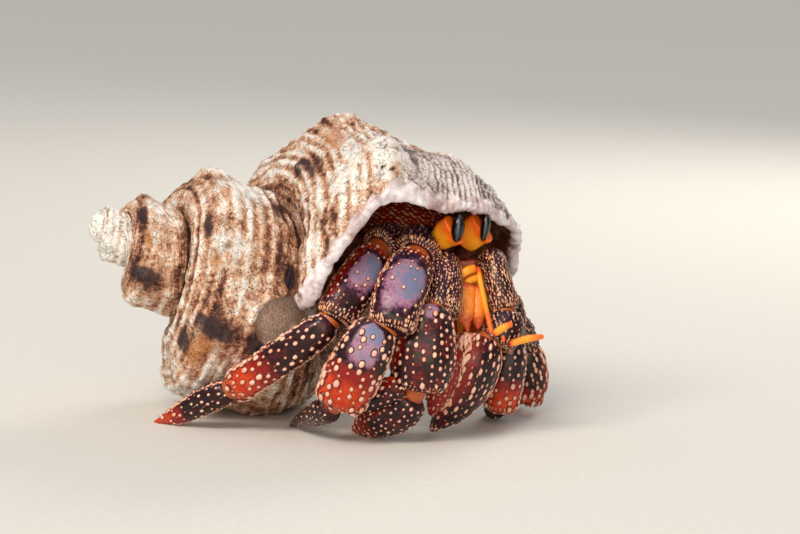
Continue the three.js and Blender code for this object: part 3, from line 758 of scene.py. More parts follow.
class Whorl(Enum):
    """Lengths of the spiral that are pieces of their own: name, first and last turn in degrees, grid."""

    SPIRE = ("shell_spire", -1104.0, -700.0, 200, 160)
    PENULTIMATE = ("shell_penultimate_whorl", -712.0, -320.0, 400, 220)
    BODY = ("shell_body_whorl", -330.0, None, 340, 230)


Spot = tuple[float, float, float, float]     # angle and line of its middle, and its half widths


@dataclass
class TurbanShell:
    """A section swept round an axis while it grows, with knobs, cords, a lip and a hollow."""

    base: Triple = (-47.7, -12.8, 29.5)
    yaw: float = 15.0
    dip: float = 20.0
    radial_growth: float = 2.08
    axial_growth: float = 1.93
    wall: float = 1.5
    hollow_from: float = -290.0
    knob_every: float = 40.0
    knob_at: float = -4.0
    knob_width: float = 9.0
    knob_height: float = 2.0
    lower_knob_height: float = 1.0
    lower_knob_phase: float = 40.0 / 3
    lip_ridge: float = 0.7
    ridge_back: float = 13.3               # degrees from the lip back to the ridge behind it
    nodule_pitch: float = 2.5              # mm between the nodules of the lip
    roof_every: float = 7.0                # degrees between the roof-like folds of a knob
    scale_pitch: float = 1.1               # mm between the growth scales
    scale_height: float = 0.16
    cord_pitch: float = 1.62               # mm between cords on the body whorl
    cord_height: float = 0.44
    varix: tuple[float, float, float, int] = (29.0, 47.0, 0.173, 3)    # from, to, line, knobs
    varix_width: float = 0.016
    callus_at: tuple[float, float] = (-259.0, 0.366)
    callus_radius: float = 4.7
    tooth_at: tuple[float, float] = (1.9, 1.6)
    apex_along: float = 4.6
    apex_size: Triple = (2.0, 2.2, 2.4)        # half sizes in X, Y and Z
    stains: tuple[Spot, ...] = (
        (20, 0.060, 9, 0.022), (12, 0.045, 5, 0.015), (-246, 0.19, 7, 0.06), (-241, 0.29, 10, 0.03),
        (-283, 0.35, 8, 0.03), (-672, 0.10, 18, 0.05), (-600, 0.18, 12, 0.10),
        (-425, 0.06, 26, 0.035), (-330, 0.33, 12, 0.03),
        (-226, 0.11, 10, 0.03), (-300, 0.10, 10, 0.02))
    # Pale spots: chalky wear on knobs, and a painted highlight on the tops of the whorls that face the
    # light.
    chalk_and_highlight: tuple[Spot, ...] = (
        (-340, 0.22, 13, 0.09), (-262, 0.26, 9, 0.04), (-4, 0.17, 7, 0.02), (-44, 0.17, 10, 0.04),
        (32, 0.178, 2.5, 0.012), (38, 0.174, 3, 0.016), (44, 0.170, 3, 0.018), (-690, 0.22, 30, 0.10),
        (-960, 0.25, 170, 0.4), (-290, 0.19, 6, 0.02), (24, 0.13, 14, 0.012), (40, 0.10, 6, 0.02))
    ambers: tuple[Spot, ...] = (
        (-236, 0.17, 9, 0.035), (-224, 0.15, 7, 0.03), (-322, 0.16, 8, 0.02), (29, 0.16, 3, 0.012),
        (-640, 0.16, 14, 0.03), (-284, 0.40, 8, 0.02), (14, 0.12, 10, 0.02), (-280, 0.15, 7, 0.02))
    # Distance from the axis, distance along it, and the angle of the lip, from the suture
    # over the shoulder, side and base to the columella and back inside the whorl before.
    section: tuple[Triple, ...] = (
        (15.0, 27.4, 88), (21.5, 28.4, 70), (26.4, 33.4, 49.33), (26.8, 42.0, 43.5),
        (26.6, 48.5, 39), (24.4, 54.6, 34), (20.5, 59.2, 25), (15.0, 61.0, 24),
        (8.5, 58.0, 20), (5.0, 49.0, 26), (5.0, 39.0, 50), (9.0, 30.5, 78),
    )

    def __post_init__(self) -> None:
        """Works out the directions of the spiral and the way round its section."""
        yaw, dip = math.radians(self.yaw), math.radians(self.dip)
        self.axis = np.array([math.cos(dip) * math.cos(yaw), math.cos(dip) * math.sin(yaw), -math.sin(dip)])
        self.top = unit(np.array([0.0, 0.0, 1.0]) - self.axis * self.axis[2])
        self.near = np.cross(self.axis, self.top)
        self.rows = np.array(self.section, float)
        self.middle = self.rows[:, :2].mean(0)
        self.lines = np.linspace(0.0, 1.0, 721)
        loop = np.stack([closed_spline(self.rows[:, k], self.lines) for k in (0, 1)], -1)
        steps = np.linalg.norm(np.diff(loop, axis=0), axis=1)
        self.lengths = np.concatenate([[0.0], np.cumsum(steps)])

    def arc(self, line: Array) -> Array:
        """Way round the section from the suture, in mm at the size of the body whorl."""
        whole = np.floor(line)
        return whole * self.lengths[-1] + np.interp(line - whole, self.lines, self.lengths)

    def spiral(self, turn: Array, r: Array, s: Array) -> Array:
        """Point at an angle: r and s grow by their own factor in each whole turn."""
        part, angle = turn / 360.0, np.radians(turn)
        r = r * self.radial_growth**part
        s = s * self.axial_growth**part
        return (np.array(self.base) + (r * np.cos(angle))[..., None] * self.top
                + (r * np.sin(angle))[..., None] * self.near + s[..., None] * self.axis)

    def lip(self, line: Array) -> Array:
        """Angle at which the lip ends on each line of growth."""
        return closed_spline(self.rows[:, 2], line)

    def centres(self, turn: Array) -> Array:
        """Middle of the section at each angle."""
        return self.spiral(turn, np.full_like(turn, self.middle[0]), np.full_like(turn, self.middle[1]))

    def knobs(self, turn: Array, phase: float = 0.0) -> Array:
        """Row of bumps from 0 to 1, one in each knob spacing."""
        off = (turn - self.knob_at - phase + self.knob_every / 2) % self.knob_every - self.knob_every / 2
        return bell(off, self.knob_width)

    def surface(self, turn: Array, line: Array) -> Array:
        """Smooth outer surface with its main row of knobs."""
        bump = self.knob_height * self.knobs(turn) * bell((line + 0.5) % 1.0 - 0.5 - 2 / 12, 0.052)
        r = closed_spline(self.rows[:, 0], line) + 0.8 * bump
        s = closed_spline(self.rows[:, 1], line) - 0.4 * bump
        return self.spiral(turn, r, s)

    def columns(self, count: int) -> Array:
        """Places round the section, nine tenths of them on the part that shows."""
        shown = int(count * 0.88)
        return np.concatenate([np.linspace(-0.05, 0.62, shown, endpoint=False),
                               np.linspace(0.62, 0.95, count - shown, endpoint=False)])

    def cords(self, wave: Array, size: Array) -> Array:
        """Height of the cords from 0 in a groove to 1 on a crest.

        Each cord is a Gaussian ridge at a whole number of the wave. Every second cord fades in as
        the shell grows, and every fourth one a whorl before that, so their spacing stays alike.

        Args:
            wave: place across the cords, one for each cord of the body whorl.
            size: size of the whorl, 1 on the body whorl.

        Returns:
            Heights in the shape of wave.
        """
        second, fourth = smooth_step(0.50, 0.90, size), smooth_step(0.24, 0.42, size)
        width = 0.30 + 0.26 * (1 - second) + 0.5 * (1 - fourth)
        crest = np.zeros_like(wave)
        for start, share in ((0.0, 1.0), (2.0, fourth), (1.0, second), (3.0, second)):
            off = (wave - start + 2.0) % 4.0 - 2.0
            crest = np.maximum(crest, share * bell(off, width))
        return crest

    def spots(self, table: Sequence[Spot], turn: Array, line: Array) -> Array:
        """Sum of the Gaussian spots of a table, at most 1."""
        total = sum(bell(turn - t, dt) * bell(line - at, dl) for t, at, dt, dl in table)
        return np.clip(total, 0.0, 1.0)

    def callus(self, turn: Array, place: Array) -> tuple[Array, Array, Array]:
        """Pad that the lip left on the whorl before: its share, its change of height, and its tooth.

        The pad is a shallow oval dish, with a scalloped rim above it and a small white tooth.

        Args:
            turn: angle of each point, degrees.
            place: points of the smooth surface, mm.

        Returns:
            Share of the pad from 0 to 1, height of rim and tooth in mm, and share of the tooth.
        """
        spot, line = np.array([self.callus_at[0]]), np.array([self.callus_at[1]])
        centre = self.surface(spot, line)[0]
        up = unit(self.surface(spot + 2, line)[0] - centre)
        right = unit(self.surface(spot, line + 0.01)[0] - centre)
        off = place - centre
        x, y = off @ right, off @ up
        gap = np.sqrt(np.maximum(np.sum(off**2, -1) + 0.25 * y**2, 0.0))
        near = ((turn < -150.0) & (turn > -380.0)).astype(float)
        pad = smooth_step(self.callus_radius, self.callus_radius - 0.35, gap) * near
        scallop = 0.75 + 0.25 * np.cos(np.arctan2(y, x) * 14.0)
        ring = bell(gap - self.callus_radius - 0.45, 0.5)
        rim = (0.30 + 0.55 * smooth_step(0.0, 3.0, y) * scallop) * ring * near
        tooth = bell(x - self.tooth_at[0], 0.42) * bell(y - self.tooth_at[1], 1.1) * near
        return pad, rim + tooth, tooth

    def relief(self, turn: Array, line: Array, place: Array) -> tuple[Array, dict[str, Array]]:
        """Height of the fine shape over the smooth surface, in mm, and the marks that go with it.

        The height is a sum of: cords (see cords), broken up along their length by noise and finer
        on the side by the lip; a row of roof-like knobs that ends at the lip; a second row of round
        ones; growth scales that follow the lip; lumps of three sizes; a ridge behind the lip that
        ends in nodules; and the callus.

        Args:
            turn: angle of each point, degrees.
            line: place of each point round the section.
            place: the points themselves, mm.

        Returns:
            Height of each point, and the marks for the material.
        """
        size = self.radial_growth ** (turn / 360.0)
        behind = (self.lip(line) - turn) * closed_spline(self.rows[:, 0], line) * size * math.pi / 180.0
        flat = np.stack([behind, self.arc(line) * size, np.zeros_like(turn)], -1)
        wander = 0.34 * value_noise(flat, 9.0, 5) + 0.22 * value_noise(flat, 2.4, 6)
        wave = self.arc(line) / self.cord_pitch + wander
        greyed = smooth_step(0.175, 0.20, line) * smooth_step(4.0, 14.0, turn)
        cord = self.cords(wave, size)
        cord = cord + greyed * (self.cords(1.8 * wave, size) - cord)
        shown = smooth_step(-0.01, 0.02, line) * smooth_step(0.66, 0.60, line)
        kept = 0.35 + 0.65 * smooth_step(-0.35, 0.25, value_noise(flat, 6.0, 8))
        cord = cord * kept
        broken = 0.72 + 0.60 * value_noise(flat * np.array([1.0, 0.6, 1.0]), 1.1, 7)
        height = self.cord_height * cord * broken * shown * size**0.35
        first, final, at, number = self.varix
        step = (turn - first) / (final - first) * number
        arch = np.abs(np.sin(math.pi * step)) ** 0.6 * ((step > 0) & (step < number))
        height += arch * bell(line - at, self.varix_width)
        crown = self.knobs(turn) * bell(line - 2 / 12, 0.06)
        second = self.knobs(turn, self.lower_knob_phase) * bell(line - 4 / 12, 0.03)
        height += self.lower_knob_height * size * second
        roofs = np.abs(np.sin(math.pi * turn / self.roof_every))
        height += crown * size * (0.5 * roofs + 0.8 * np.abs(value_noise(place, 1.5, 41)))
        growth = np.abs(np.sin(math.pi * (behind / self.scale_pitch + 0.8 * value_noise(flat, 2.2, 11))))
        height += self.scale_height * (growth - 0.6) * shown
        coarse = size**0.7
        height += (0.50 * coarse * layered_noise(place, 6.5, 21)
                   + 0.36 * coarse * layered_noise(place, 1.9, 31))
        height += (0.15 * value_noise(place, 0.7, 36) + 0.05 * value_noise(place, 0.45, 37)) * size**0.4
        height += 0.5 * coarse * np.abs(value_noise(place, 2.2, 46)) * bell(line - 0.02, 0.04)
        nodule = 0.5 + 0.5 * np.cos(TAU * (self.arc(line) / self.nodule_pitch
                                           + 0.35 * value_noise(flat, 5.0, 12)))
        last = smooth_step(-200.0, -120.0, turn)
        back = self.lip(line) - turn - self.ridge_back
        height += self.lip_ridge * bell(back / self.ridge_back, 1.0) * last
        height += (0.10 + 0.34 * nodule) * bell(behind - 0.9, 0.9) * last
        pad, raised, tooth = self.callus(turn, place)
        height = height * (1 - pad) + pad * (0.04 * value_noise(place, 1.2, 51) - 0.75) + raised
        # Painted shade in the seams between whorls: a dark line where the body whorl covers the one before
        # it, and a fainter one along the upper seam.
        seam = bell(line - 0.395, 0.012) * smooth_step(-290.0, -310.0, turn)
        seam = seam + 0.35 * bell(line - 0.002, 0.008)
        streak = value_noise(flat * np.array([0.14, 1.0, 1.0]), 0.75, 62) + 0.7 * layered_noise(
            flat * np.array([0.3, 1.0, 1.0]), 2.1, 63)
        ragged = 0.35 * layered_noise(flat, 5.0, 61)
        # Darker in the gaps between the knobs of the varix.
        varix_gaps = bell(step - np.round(step), 0.07) * bell(line - at, self.varix_width) * (step > 0.4)
        band = behind + 0.9 * layered_noise(place, 1.6, 71) - 0.9 * nodule
        # Worn knob tops and chalk, with the painted highlight on the lit tops of the whorls.
        worn = 0.45 * crown + 0.4 * second + self.spots(self.chalk_and_highlight, turn, line) + ragged + tooth
        # These marks hold real stains together with painted seam shade, and wear together with painted
        # highlight.
        marks = {
            "cord": cord * shown, "streak": streak, "lip": smooth_step(1.3, 0.5, band) * last,
            "worn": np.clip(worn, 0, 1.3),
            "stain": np.clip(self.spots(self.stains, turn, line) + 0.8 * seam + varix_gaps, 0, 1.2) * (1 - pad),
            "amber": self.spots(self.ambers, turn, line), "callus": pad * (1 - tooth),
            "greyed": greyed,
        }
        return height, marks

    def outside(self, turn: Array, line: Array) -> tuple[Array, dict[str, Array]]:
        """Outer surface with its relief, for whole grids of angles and lines."""
        smooth = self.surface(turn, line)
        normal = grid_normals(smooth, self.centres(turn))
        height, marks = self.relief(turn, line, smooth)
        return smooth + height[..., None] * normal, marks

    def early_whorl(self, whorl: Whorl) -> Shape:
        """Closed length of the spiral before the body whorl."""
        _, start, end, rows, columns = whorl.value
        turn, line = np.meshgrid(np.linspace(start, end, rows), self.columns(columns), indexing="ij")
        points, marks = self.outside(turn, line)
        zero = np.zeros_like(turn)
        return closed_grid(on_floor(points), marks | {"inner": zero})

    def apex(self) -> Shape:
        """Worn first whorl: an egg shape with lumps, at the narrow end of the axis."""
        rings, columns = np.linspace(0.06, math.pi - 0.06, 40), TAU * np.arange(60) / 60
        up, out = np.meshgrid(rings, columns, indexing="ij")
        ball = np.stack([np.cos(up), np.sin(up) * np.cos(out), np.sin(up) * np.sin(out)], -1)
        smooth = ball * np.array(self.apex_size)
        centre = np.array(self.base) + self.apex_along * self.axis
        points = centre + smooth * (1 + 0.07 * layered_noise(smooth, 1.6, 91))[..., None]
        full = np.full(up.shape, 0.9)
        return closed_grid(points, {"cord": 0.5 * full, "worn": full, "streak": full})

    def body_whorl(self) -> Shape:
        """Last whorl: out along the surface, over the rounded lip and back down the chamber."""
        _, start, _, rows, columns = Whorl.BODY.value
        line = self.columns(columns)[None]
        end = self.lip(line) + 1.6 * value_noise(np.stack([line * 86.0, 0 * line, 0 * line], -1), 3.2, 71)
        share = np.linspace(0.0, 1.0, rows)[:, None]
        turn = start + (end - start) * share
        points, marks = self.outside(turn, np.broadcast_to(line, turn.shape))
        edge, before = points[-1], points[-5]
        ahead = unit(edge - before)
        inward = unit(self.centres(end)[0] - edge)
        roll = np.linspace(0.0, math.pi, 11)[1:, None, None]
        thick = self.wall * (0.95 + 0.30 * value_noise(edge, 2.6, 82))[..., None]
        lip = edge + thick / 2 * (1 - np.cos(roll)) * inward + 0.40 * thick * np.sin(roll) * ahead
        back = np.linspace(0.0, 1.0, 70)[1:, None] ** 1.3
        inner_turn = end + (self.hollow_from - end) * back
        smooth = self.surface(inner_turn, np.broadcast_to(line, inner_turn.shape))
        depth = self.wall * (0.95 + 0.12 * value_noise(smooth, 4.0, 81))
        inner = smooth + depth[..., None] * unit(self.centres(inner_turn) - smooth)
        blend = smooth_step(0.0, 0.05, back)[..., None]
        inner = inner * blend + (1 - blend) * (inner + (lip[-1] - inner[:1]))
        every = np.concatenate([points, lip, inner])
        extra = len(lip) + len(inner)
        kept = {name: np.concatenate([value, np.repeat(value[-1:], extra, 0)])
                for name, value in marks.items()}
        deep = np.broadcast_to(back, inner_turn.shape)
        girth = np.broadcast_to(self.arc(line), inner_turn.shape)
        rim = smooth_step(0.055, 0.005, deep) * smooth_step(0.26, 0.34, line)
        drops = smooth_step(0.1, 0.5, value_noise(np.stack([girth, deep * 60, 0 * deep], -1), 1.3, 83))
        for name in ("cord", "worn", "stain", "amber", "greyed", "streak"):
            kept[name][-extra:] = 0.3 if name == "cord" else 0.0
        kept["stain"][-len(inner):] = rim * drops
        kept["lip"][-extra:-len(inner)] = 1.0
        kept["lip"][-len(inner):] = smooth_step(0.010, 0.0, deep)
        kept["inner"] = np.concatenate([0 * turn, np.zeros((len(lip), columns)),
                                        smooth_step(0.0, 0.012, deep)])
        return closed_grid(on_floor(every), kept)

    def build(self, bench: Bench) -> None:
        """Makes the three pieces of the shell, and the body whorl stands for the solid."""
        finish = WeatheredShell().make()
        spire = joined([self.early_whorl(Whorl.SPIRE), self.apex()])
        bench.piece(Whorl.SPIRE.value[0], spire, finish, "shell")
        bench.piece(Whorl.PENULTIMATE.value[0], self.early_whorl(Whorl.PENULTIMATE), finish, "shell")
        bench.piece(Whorl.BODY.value[0], self.body_whorl(), finish, "shell", ("shell",))

    def chamber_ring(self, turn: Array, line: Array, room: Array) -> Array:
        """Points inside the chamber, this far from its outer surface."""
        r, s = (closed_spline(self.rows[:, k], line) for k in (0, 1))
        smooth = self.spiral(turn, r, s)
        return smooth + room[..., None] * unit(self.centres(turn) - smooth)


# ---------------------------------------------------------------- jointed pieces


class Form(Enum):
    """How a jointed piece is rounded: power of its section, share of its length in each end dome."""

    PLATE = (2.35, 0.13, 0.10)
    FINGER = (2.2, 0.12, 0.55)
    ROD = (2.0, 0.06, 0.08)
    EYE = (2.0, 0.42, 0.42)
    STALK = (3.2, 0.07, 0.07)
    SOFT = (2.0, 0.20, 0.35)


@dataclass(frozen=True)
class Dress:
    """Beads and colours of one jointed piece. Angles round it are shares of a turn from its side."""

    pearls: int = 0
    pearl_size: tuple[float, float] = (0.22, 0.42)   # radius, mm
    scales: int = 0
    scale_size: tuple[float, float] = (0.10, 0.21)
    # The shield is also where the painted sky reflection goes.
    bald: tuple[float, float, float] | None = None   # along, round, radius: a smooth glossy shield
    red_tip: float = 0.0                           # share of the length with the orange-red end
    red_base: float = 0.0
    red_edge: tuple[float, float] | None = None      # angle and half width of an orange-red flank
    margins: tuple[float, ...] = ()                # angles of rows of beads along the piece
    bristles: int = 0
    warm: float = 0.0                              # reddens the whole piece
    long: float = 0.0                              # draws the pearls out along the piece


@dataclass(frozen=True)
class Segment:
    """One jointed piece: widths and depths at equal stations along a path."""

    name: str
    widths: tuple[float, ...]
    depths: tuple[float, ...]
    path: tuple[Triple, ...]
    form: Form = Form.PLATE
    dress: Dress = Dress()
    side: Triple | None = None

    def skeleton(self, place: Array) -> tuple[Array, Array, Array, Array]:
        """Middle, direction, side and depth directions at places along the path, each (n, 3)."""
        step = 1e-4
        low, high = np.clip(place - step, 0, 1), np.clip(place + step, 0, 1)
        along = unit(path_points(self.path, high) - path_points(self.path, low))
        towards = np.array(self.side) if self.side else np.cross(along, [0.0, 1.0, 0.0])
        side = unit(towards - np.sum(towards * along, -1, keepdims=True) * along)
        return path_points(self.path, place), along, side, unit(np.cross(along, side))

    def surface(self, place: Array, angle: Array) -> Array:
        """Points at places along and angles round the piece (a share of a turn).

        Each section is a superellipse: side times w times the signed power of the cosine, plus
        depth times d times the signed power of the sine. Both ends close in a blunt dome, and
        a plate swells a little just before its far end, where it overlaps the next one.

        Args:
            place: (n,) places from 0 to 1.
            angle: (n,) shares of a turn.

        Returns:
            (n, 3) points, mm.
        """
        power, base, tip = self.form.value
        middle, along, side, depth = self.skeleton(place)
        if self.form is Form.PLATE:
            middle = middle + (OVERLAP * (2 * place - 1))[:, None] * along
        blunt = 2.6
        start = (1 - np.clip(1 - place / base, 0, 1) ** blunt) ** (1 / blunt)
        end = (1 - np.clip(1 - (1 - place) / tip, 0, 1) ** blunt) ** (1 / blunt)
        size = np.maximum(start * end, 0.02)
        if self.form is Form.PLATE:
            size = size * (1 + 0.07 * bell(place - 0.88, 0.05) - 0.05 * bell(place - 0.06, 0.07))
        if self.form is Form.ROD:
            length = np.linalg.norm(np.diff(np.array(self.path), axis=0), axis=1).sum()
            size = size * (1 + 0.05 * np.sin(TAU * place * length / 0.45))
        cosine, sine = np.cos(TAU * angle), np.sin(TAU * angle)
        w = smooth_station(self.widths, place) / 2 * np.sign(cosine) * np.abs(cosine) ** (2 / power)
        d = smooth_station(self.depths, place) / 2 * np.sign(sine) * np.abs(sine) ** (2 / power)
        return middle + (w * size)[:, None] * side + (d * size)[:, None] * depth

    def normals(self, place: Array, angle: Array) -> Array:
        """Outward unit normals, from the cross product of two short steps on the surface."""
        step = 2e-3
        inside = np.clip(place, 2 * step, 1 - 2 * step)
        across = self.surface(inside, angle + step) - self.surface(inside, angle - step)
        along = self.surface(inside + step, angle) - self.surface(inside - step, angle)
        normal = unit(np.cross(across, along))
        outward = self.surface(inside, angle) - path_points(self.path, inside)
        return normal * np.sign(np.sum(normal * outward, -1, keepdims=True))

    def marks(self, place: Array, angle: Array) -> dict[str, Array]:
        """Colour marks of the dress: red, the painted sky reflection and its fade, shade, and the painted
        highlight band of an eye.
        """
        dress = self.dress
        red = np.full_like(place, dress.warm)
        if dress.red_tip:
            red = np.maximum(red, 1.15 * smooth_step(0.84 - dress.red_tip, 1.22 - dress.red_tip, place))
        if dress.red_base:
            red = np.maximum(red, 1.1 * smooth_step(dress.red_base + 0.06, dress.red_base - 0.05, place))
        if dress.red_edge:
            off = around(angle, dress.red_edge[0])
            red = np.maximum(red, 1.25 * bell(off, dress.red_edge[1]) * smooth_step(1.05, 0.45, place))
        # Painted sky reflection on the smooth shield, and a fade across it from blue-grey to mauve.
        bloom, cool = np.zeros_like(place), np.zeros_like(place)
        if dress.bald:
            bloom = smooth_step(1.15, 0.45, self.bald_distance(place, angle))
            off = around(angle, dress.bald[1])
            cool = np.clip(0.5 - (0.45 * (place - dress.bald[0]) + 0.6 * off) / dress.bald[2], 0, 1)
            cool = cool * (1 - 2 * dress.warm)
        shade = 0.25 + 0.75 * smooth_step(0.14, 0.0, place) + 0.6 * bell((angle - 0.75) % 1.0, 0.15)
        shade = shade + 0.3 * smooth_step(0.6, 1.0, place) - 0.45 * bell(place - 0.42, 0.18)
        # band is a painted highlight: an upright stripe down the front of an eye.
        return {"red": red * (1 - 0.9 * bloom), "bloom": bloom, "cool": cool, "shade": shade,
                "band": bell(around(angle, 0.25), 0.05)}

    def bald_distance(self, place: Array, angle: Array) -> Array:
        """Distance from the middle of the smooth shield, where 1 is its rim."""
        along, middle, radius = self.dress.bald
        return np.hypot((place - along) / radius, around(angle, middle) / (radius * 0.5))

    def skin(self, rows: int, columns: int, tile: Tile, rough: float = 0.05) -> Shape:
        """Closed skin of the piece, with lumps of this height in mm."""
        line = 0.5 - 0.5 * np.cos(math.pi * (np.arange(rows) + 0.5) / rows)
        line = 0.55 * line + 0.45 * (np.arange(rows) + 0.5) / rows
        place, angle = (g.ravel() for g in np.meshgrid(line, np.arange(columns) / columns, indexing="ij"))
        points = self.surface(place, angle)
        points = points + (rough * layered_noise(points, 1.4, 7))[:, None] * self.normals(place, angle)
        marks = {name: value.reshape(rows, columns) for name, value in self.marks(place, angle).items()}
        return closed_grid(on_floor(points.reshape(rows, columns, 3)), marks, tile)

    def spread(self, count: int, seed: int) -> tuple[Array, Array]:
        """Even scatter over the piece: an additive recurrence, warped so that areas match."""
        first, second = 0.7548776662466927, 0.5698402909980532
        k = np.arange(count) + 11 * seed
        grid = np.linspace(0.04, 0.97, 60)
        girth = smooth_station(self.widths, grid) + smooth_station(self.depths, grid)
        area = np.concatenate([[0], np.cumsum(girth[1:] + girth[:-1])])
        place = np.interp(((k + 0.5) * first) % 1.0, area / area[-1], grid)
        return place, ((k + 0.5) * second + 0.137 * seed) % 1.0

    def beads(self, kind: Bead, count: int, tile: Tile, seed: int) -> Shape:
        """Joined beads of one kind over the piece.

        Most pearls and nearly all scales keep off the shield, both thicken to rows along the margins,
        and scales to three rows round the far end. Bristles lean towards it.

        Args:
            kind: form of the bead.
            count: how many are scattered.
            tile: part of the bake map that belongs to this piece.
            seed: number of the scatter.

        Returns:
            The joined beads with the marks rise, tone and hue.
        """
        dress = self.dress
        place, angle = self.spread(count, seed)
        length = np.linalg.norm(np.diff(np.array(self.path), axis=0), axis=1).sum()
        gap = 0.50 if kind is Bead.SCALE else 0.66
        reach = 0.92 if self.form is Form.PLATE else 0.70
        for row in dress.margins if kind is not Bead.BRISTLE else ():
            number = int(length / gap)
            steps = np.arange(number)
            place = np.concatenate([place, (steps + 0.5) / number * reach + 0.04])
            angle = np.concatenate([angle, row + 0.012 * np.sin(steps * 2.4)])
        if kind is Bead.SCALE and self.form is Form.PLATE:
            number = int(math.pi * (self.widths[-1] + self.depths[-1]) / 2 / 0.42)
            for k, row in enumerate((0.90, 0.94, 0.975)):
                place = np.concatenate([place, np.full(number, row)])
                angle = np.concatenate([angle, (np.arange(number) + 0.5 * k) / number % 1.0])
        points = self.surface(place, angle)
        chance = 0.5 + 0.5 * value_noise(points, 0.37, 90 + seed)
        if dress.bald:
            depth = self.bald_distance(place, angle)
            wanted = 0.47 if kind is Bead.PEARL else 0.80
            keep = (depth > 1.0) | (chance > wanted)
            place, angle, chance, points = (x[keep] for x in (place, angle, chance, points))
        normal, along = self.normals(place, angle), self.skeleton(place)[1]
        red = self.marks(place, angle)["red"]
        low, high = dress.pearl_size if kind is Bead.PEARL else dress.scale_size
        radius = low + (high - low) * np.clip(1.6 * chance - 0.3, 0.0, 1.1) ** 1.4
        stretch, height = 1.0 + 0.45 * chance, np.full(len(place), 1.0)
        if kind is Bead.PEARL:
            radius = radius * (1 + 0.35 * np.clip(red, 0, 1))
            stretch = stretch + dress.long
        if kind is Bead.SCALE:
            stretch = 1.7 + 1.3 * chance
        if kind is Bead.BRISTLE:
            lean = 0.5 + 0.5 * chance
            normal = unit(normal * lean[:, None] + along * (1.1 - 0.4 * lean)[:, None])
            radius, stretch, height = np.full(len(place), 0.05), np.ones(len(place)), 14 + 14 * chance
        corner, size = np.array(tile[:2]), np.array(tile[2:]) - np.array(tile[:2])
        root = corner + np.stack([angle % 1.0, 0.02 + 0.96 * place], -1) * size
        hue = 0.5 + 0.5 * value_noise(points, 0.61, 190 + seed)
        marks = {"tone": np.clip(0.2 + 0.8 * chance, 0, 1), "hue": hue, "warm": np.clip(red, 0, 1.2)}
        return scattered(kind.template(), points, normal, along, radius, stretch, height, root, marks)


def around(angle: Array, middle: float) -> Array:
    """Shares of a turn from a middle angle the short way round, from -0.5 to 0.5."""
    return (angle - middle + 0.5) % 1.0 - 0.5


def tiles(count: int) -> list[Tile]:
    """Splits the bake map into equal upright strips, one for each segment."""
    return [((k + 0.02) / count, 0.01, (k + 0.98) / count, 0.99) for k in range(count)]


def bridge(first: Segment, second: Segment) -> Segment:
    """Soft joint between two pieces, from inside the end of one to inside the start of the next."""
    start, end = path_points(first.path, np.array([0.86]))[0], path_points(second.path, np.array([0.14]))[0]
    wide = 0.80 * min(first.widths[-1], second.widths[0])
    deep = 0.80 * min(first.depths[-1], second.depths[0])
    return Segment(f"{second.name}_joint", (wide,) * 3, (deep,) * 3,
                   (tuple(start), tuple((start + end) / 2), tuple(end)), Form.SOFT)


@dataclass(frozen=True)
class Coat:
    """Finishes that the limbs share."""

    plate: bpy.types.Material
    pearl: bpy.types.Material
    scale: bpy.types.Material
    bristle: bpy.types.Material
    joint: bpy.types.Material


@dataclass
class Limb:
    """A row of segments, from the toe to the body, that share their finishes."""

    name: str
    segments: tuple[Segment, ...]

    def build(self, bench: Bench, coat: Coat) -> None:
        """Makes a skin for each segment, the joints between them, and joined beads for the limb."""
        found: dict[Bead, list[Shape]] = {kind: [] for kind in Bead}
        for seed, (segment, tile) in enumerate(zip(self.segments, tiles(len(self.segments)))):
            skin = segment.skin(72, 80, WHOLE)
            bench.piece(f"{segment.name}_skin", skin, coat.plate, "plate", (segment.name,))
            dress = segment.dress
            for kind, count in zip(Bead, (dress.pearls, dress.scales, dress.bristles)):
                if count:
                    found[kind].append(segment.beads(kind, count, tile, seed + 1))
        for kind, finish in zip(Bead, (coat.pearl, coat.scale, coat.bristle)):
            if found[kind]:
                bench.piece(f"{self.name}_{kind.name.lower()}s", joined(found[kind]), finish, "plate")
        pairs = zip(self.segments[1:], self.segments[:-1])
        joints = [bridge(inner, outer).skin(24, 28, tile) for (inner, outer), tile in zip(pairs, tiles(3))]
        bench.piece(f"{self.name}_joints", joined(joints), coat.joint, "plate")


RIGHT_THIRD_LEG = Limb("leg3_right", (
    Segment("leg3_right_dactylus", (3.8, 4.0, 2.8, 0.9), (3.4, 3.4, 2.4, 0.8),
            ((-23.6, -20.4, 6.2), (-27.5, -19.0, 4.2), (-31.4, -17.0, 1.7), (-35.0, -15.2, 0.05)),
            Form.FINGER, Dress(90, (0.16, 0.27), 110, (0.09, 0.15), red_tip=0.42, margins=(0.07, 0.43),
                               bristles=26, warm=0.12)),
    Segment("leg3_right_propodus", (4.4, 4.9, 4.8, 4.4), (4.0, 4.3, 4.2, 3.8),
            ((-9.7, -25.4, 17.2), (-14.2, -24.4, 13.6), (-18.8, -22.6, 10.0), (-23.2, -20.6, 6.5)),
            Form.PLATE, Dress(150, (0.20, 0.40), 140, (0.10, 0.17), red_tip=0.42, margins=(0.05, 0.45),
                              bristles=16, warm=0.1)),
    Segment("leg3_right_carpus", (4.8, 5.8, 6.2, 5.2), (4.2, 4.8, 4.8, 4.2),
            ((-3.6, -16.6, 26.2), (-5.2, -20.2, 23.8), (-7.1, -23.2, 21.0), (-8.9, -25.2, 17.8)),
            Form.PLATE, Dress(90, (0.16, 0.30), 320, (0.10, 0.20), bald=(0.46, 0.24, 0.30), red_base=0.15,
                              red_edge=(0.48, 0.13), margins=(0.02, 0.10, 0.48))),
    Segment("leg3_right_merus", (4.2, 5.0, 5.0), (4.0, 4.6, 4.6),
            ((0.6, -8.6, 24.0), (-1.7, -12.2, 27.6), (-3.1, -15.6, 27.0)),
            Form.PLATE, Dress(0, scales=330, scale_size=(0.09, 0.17))),
))

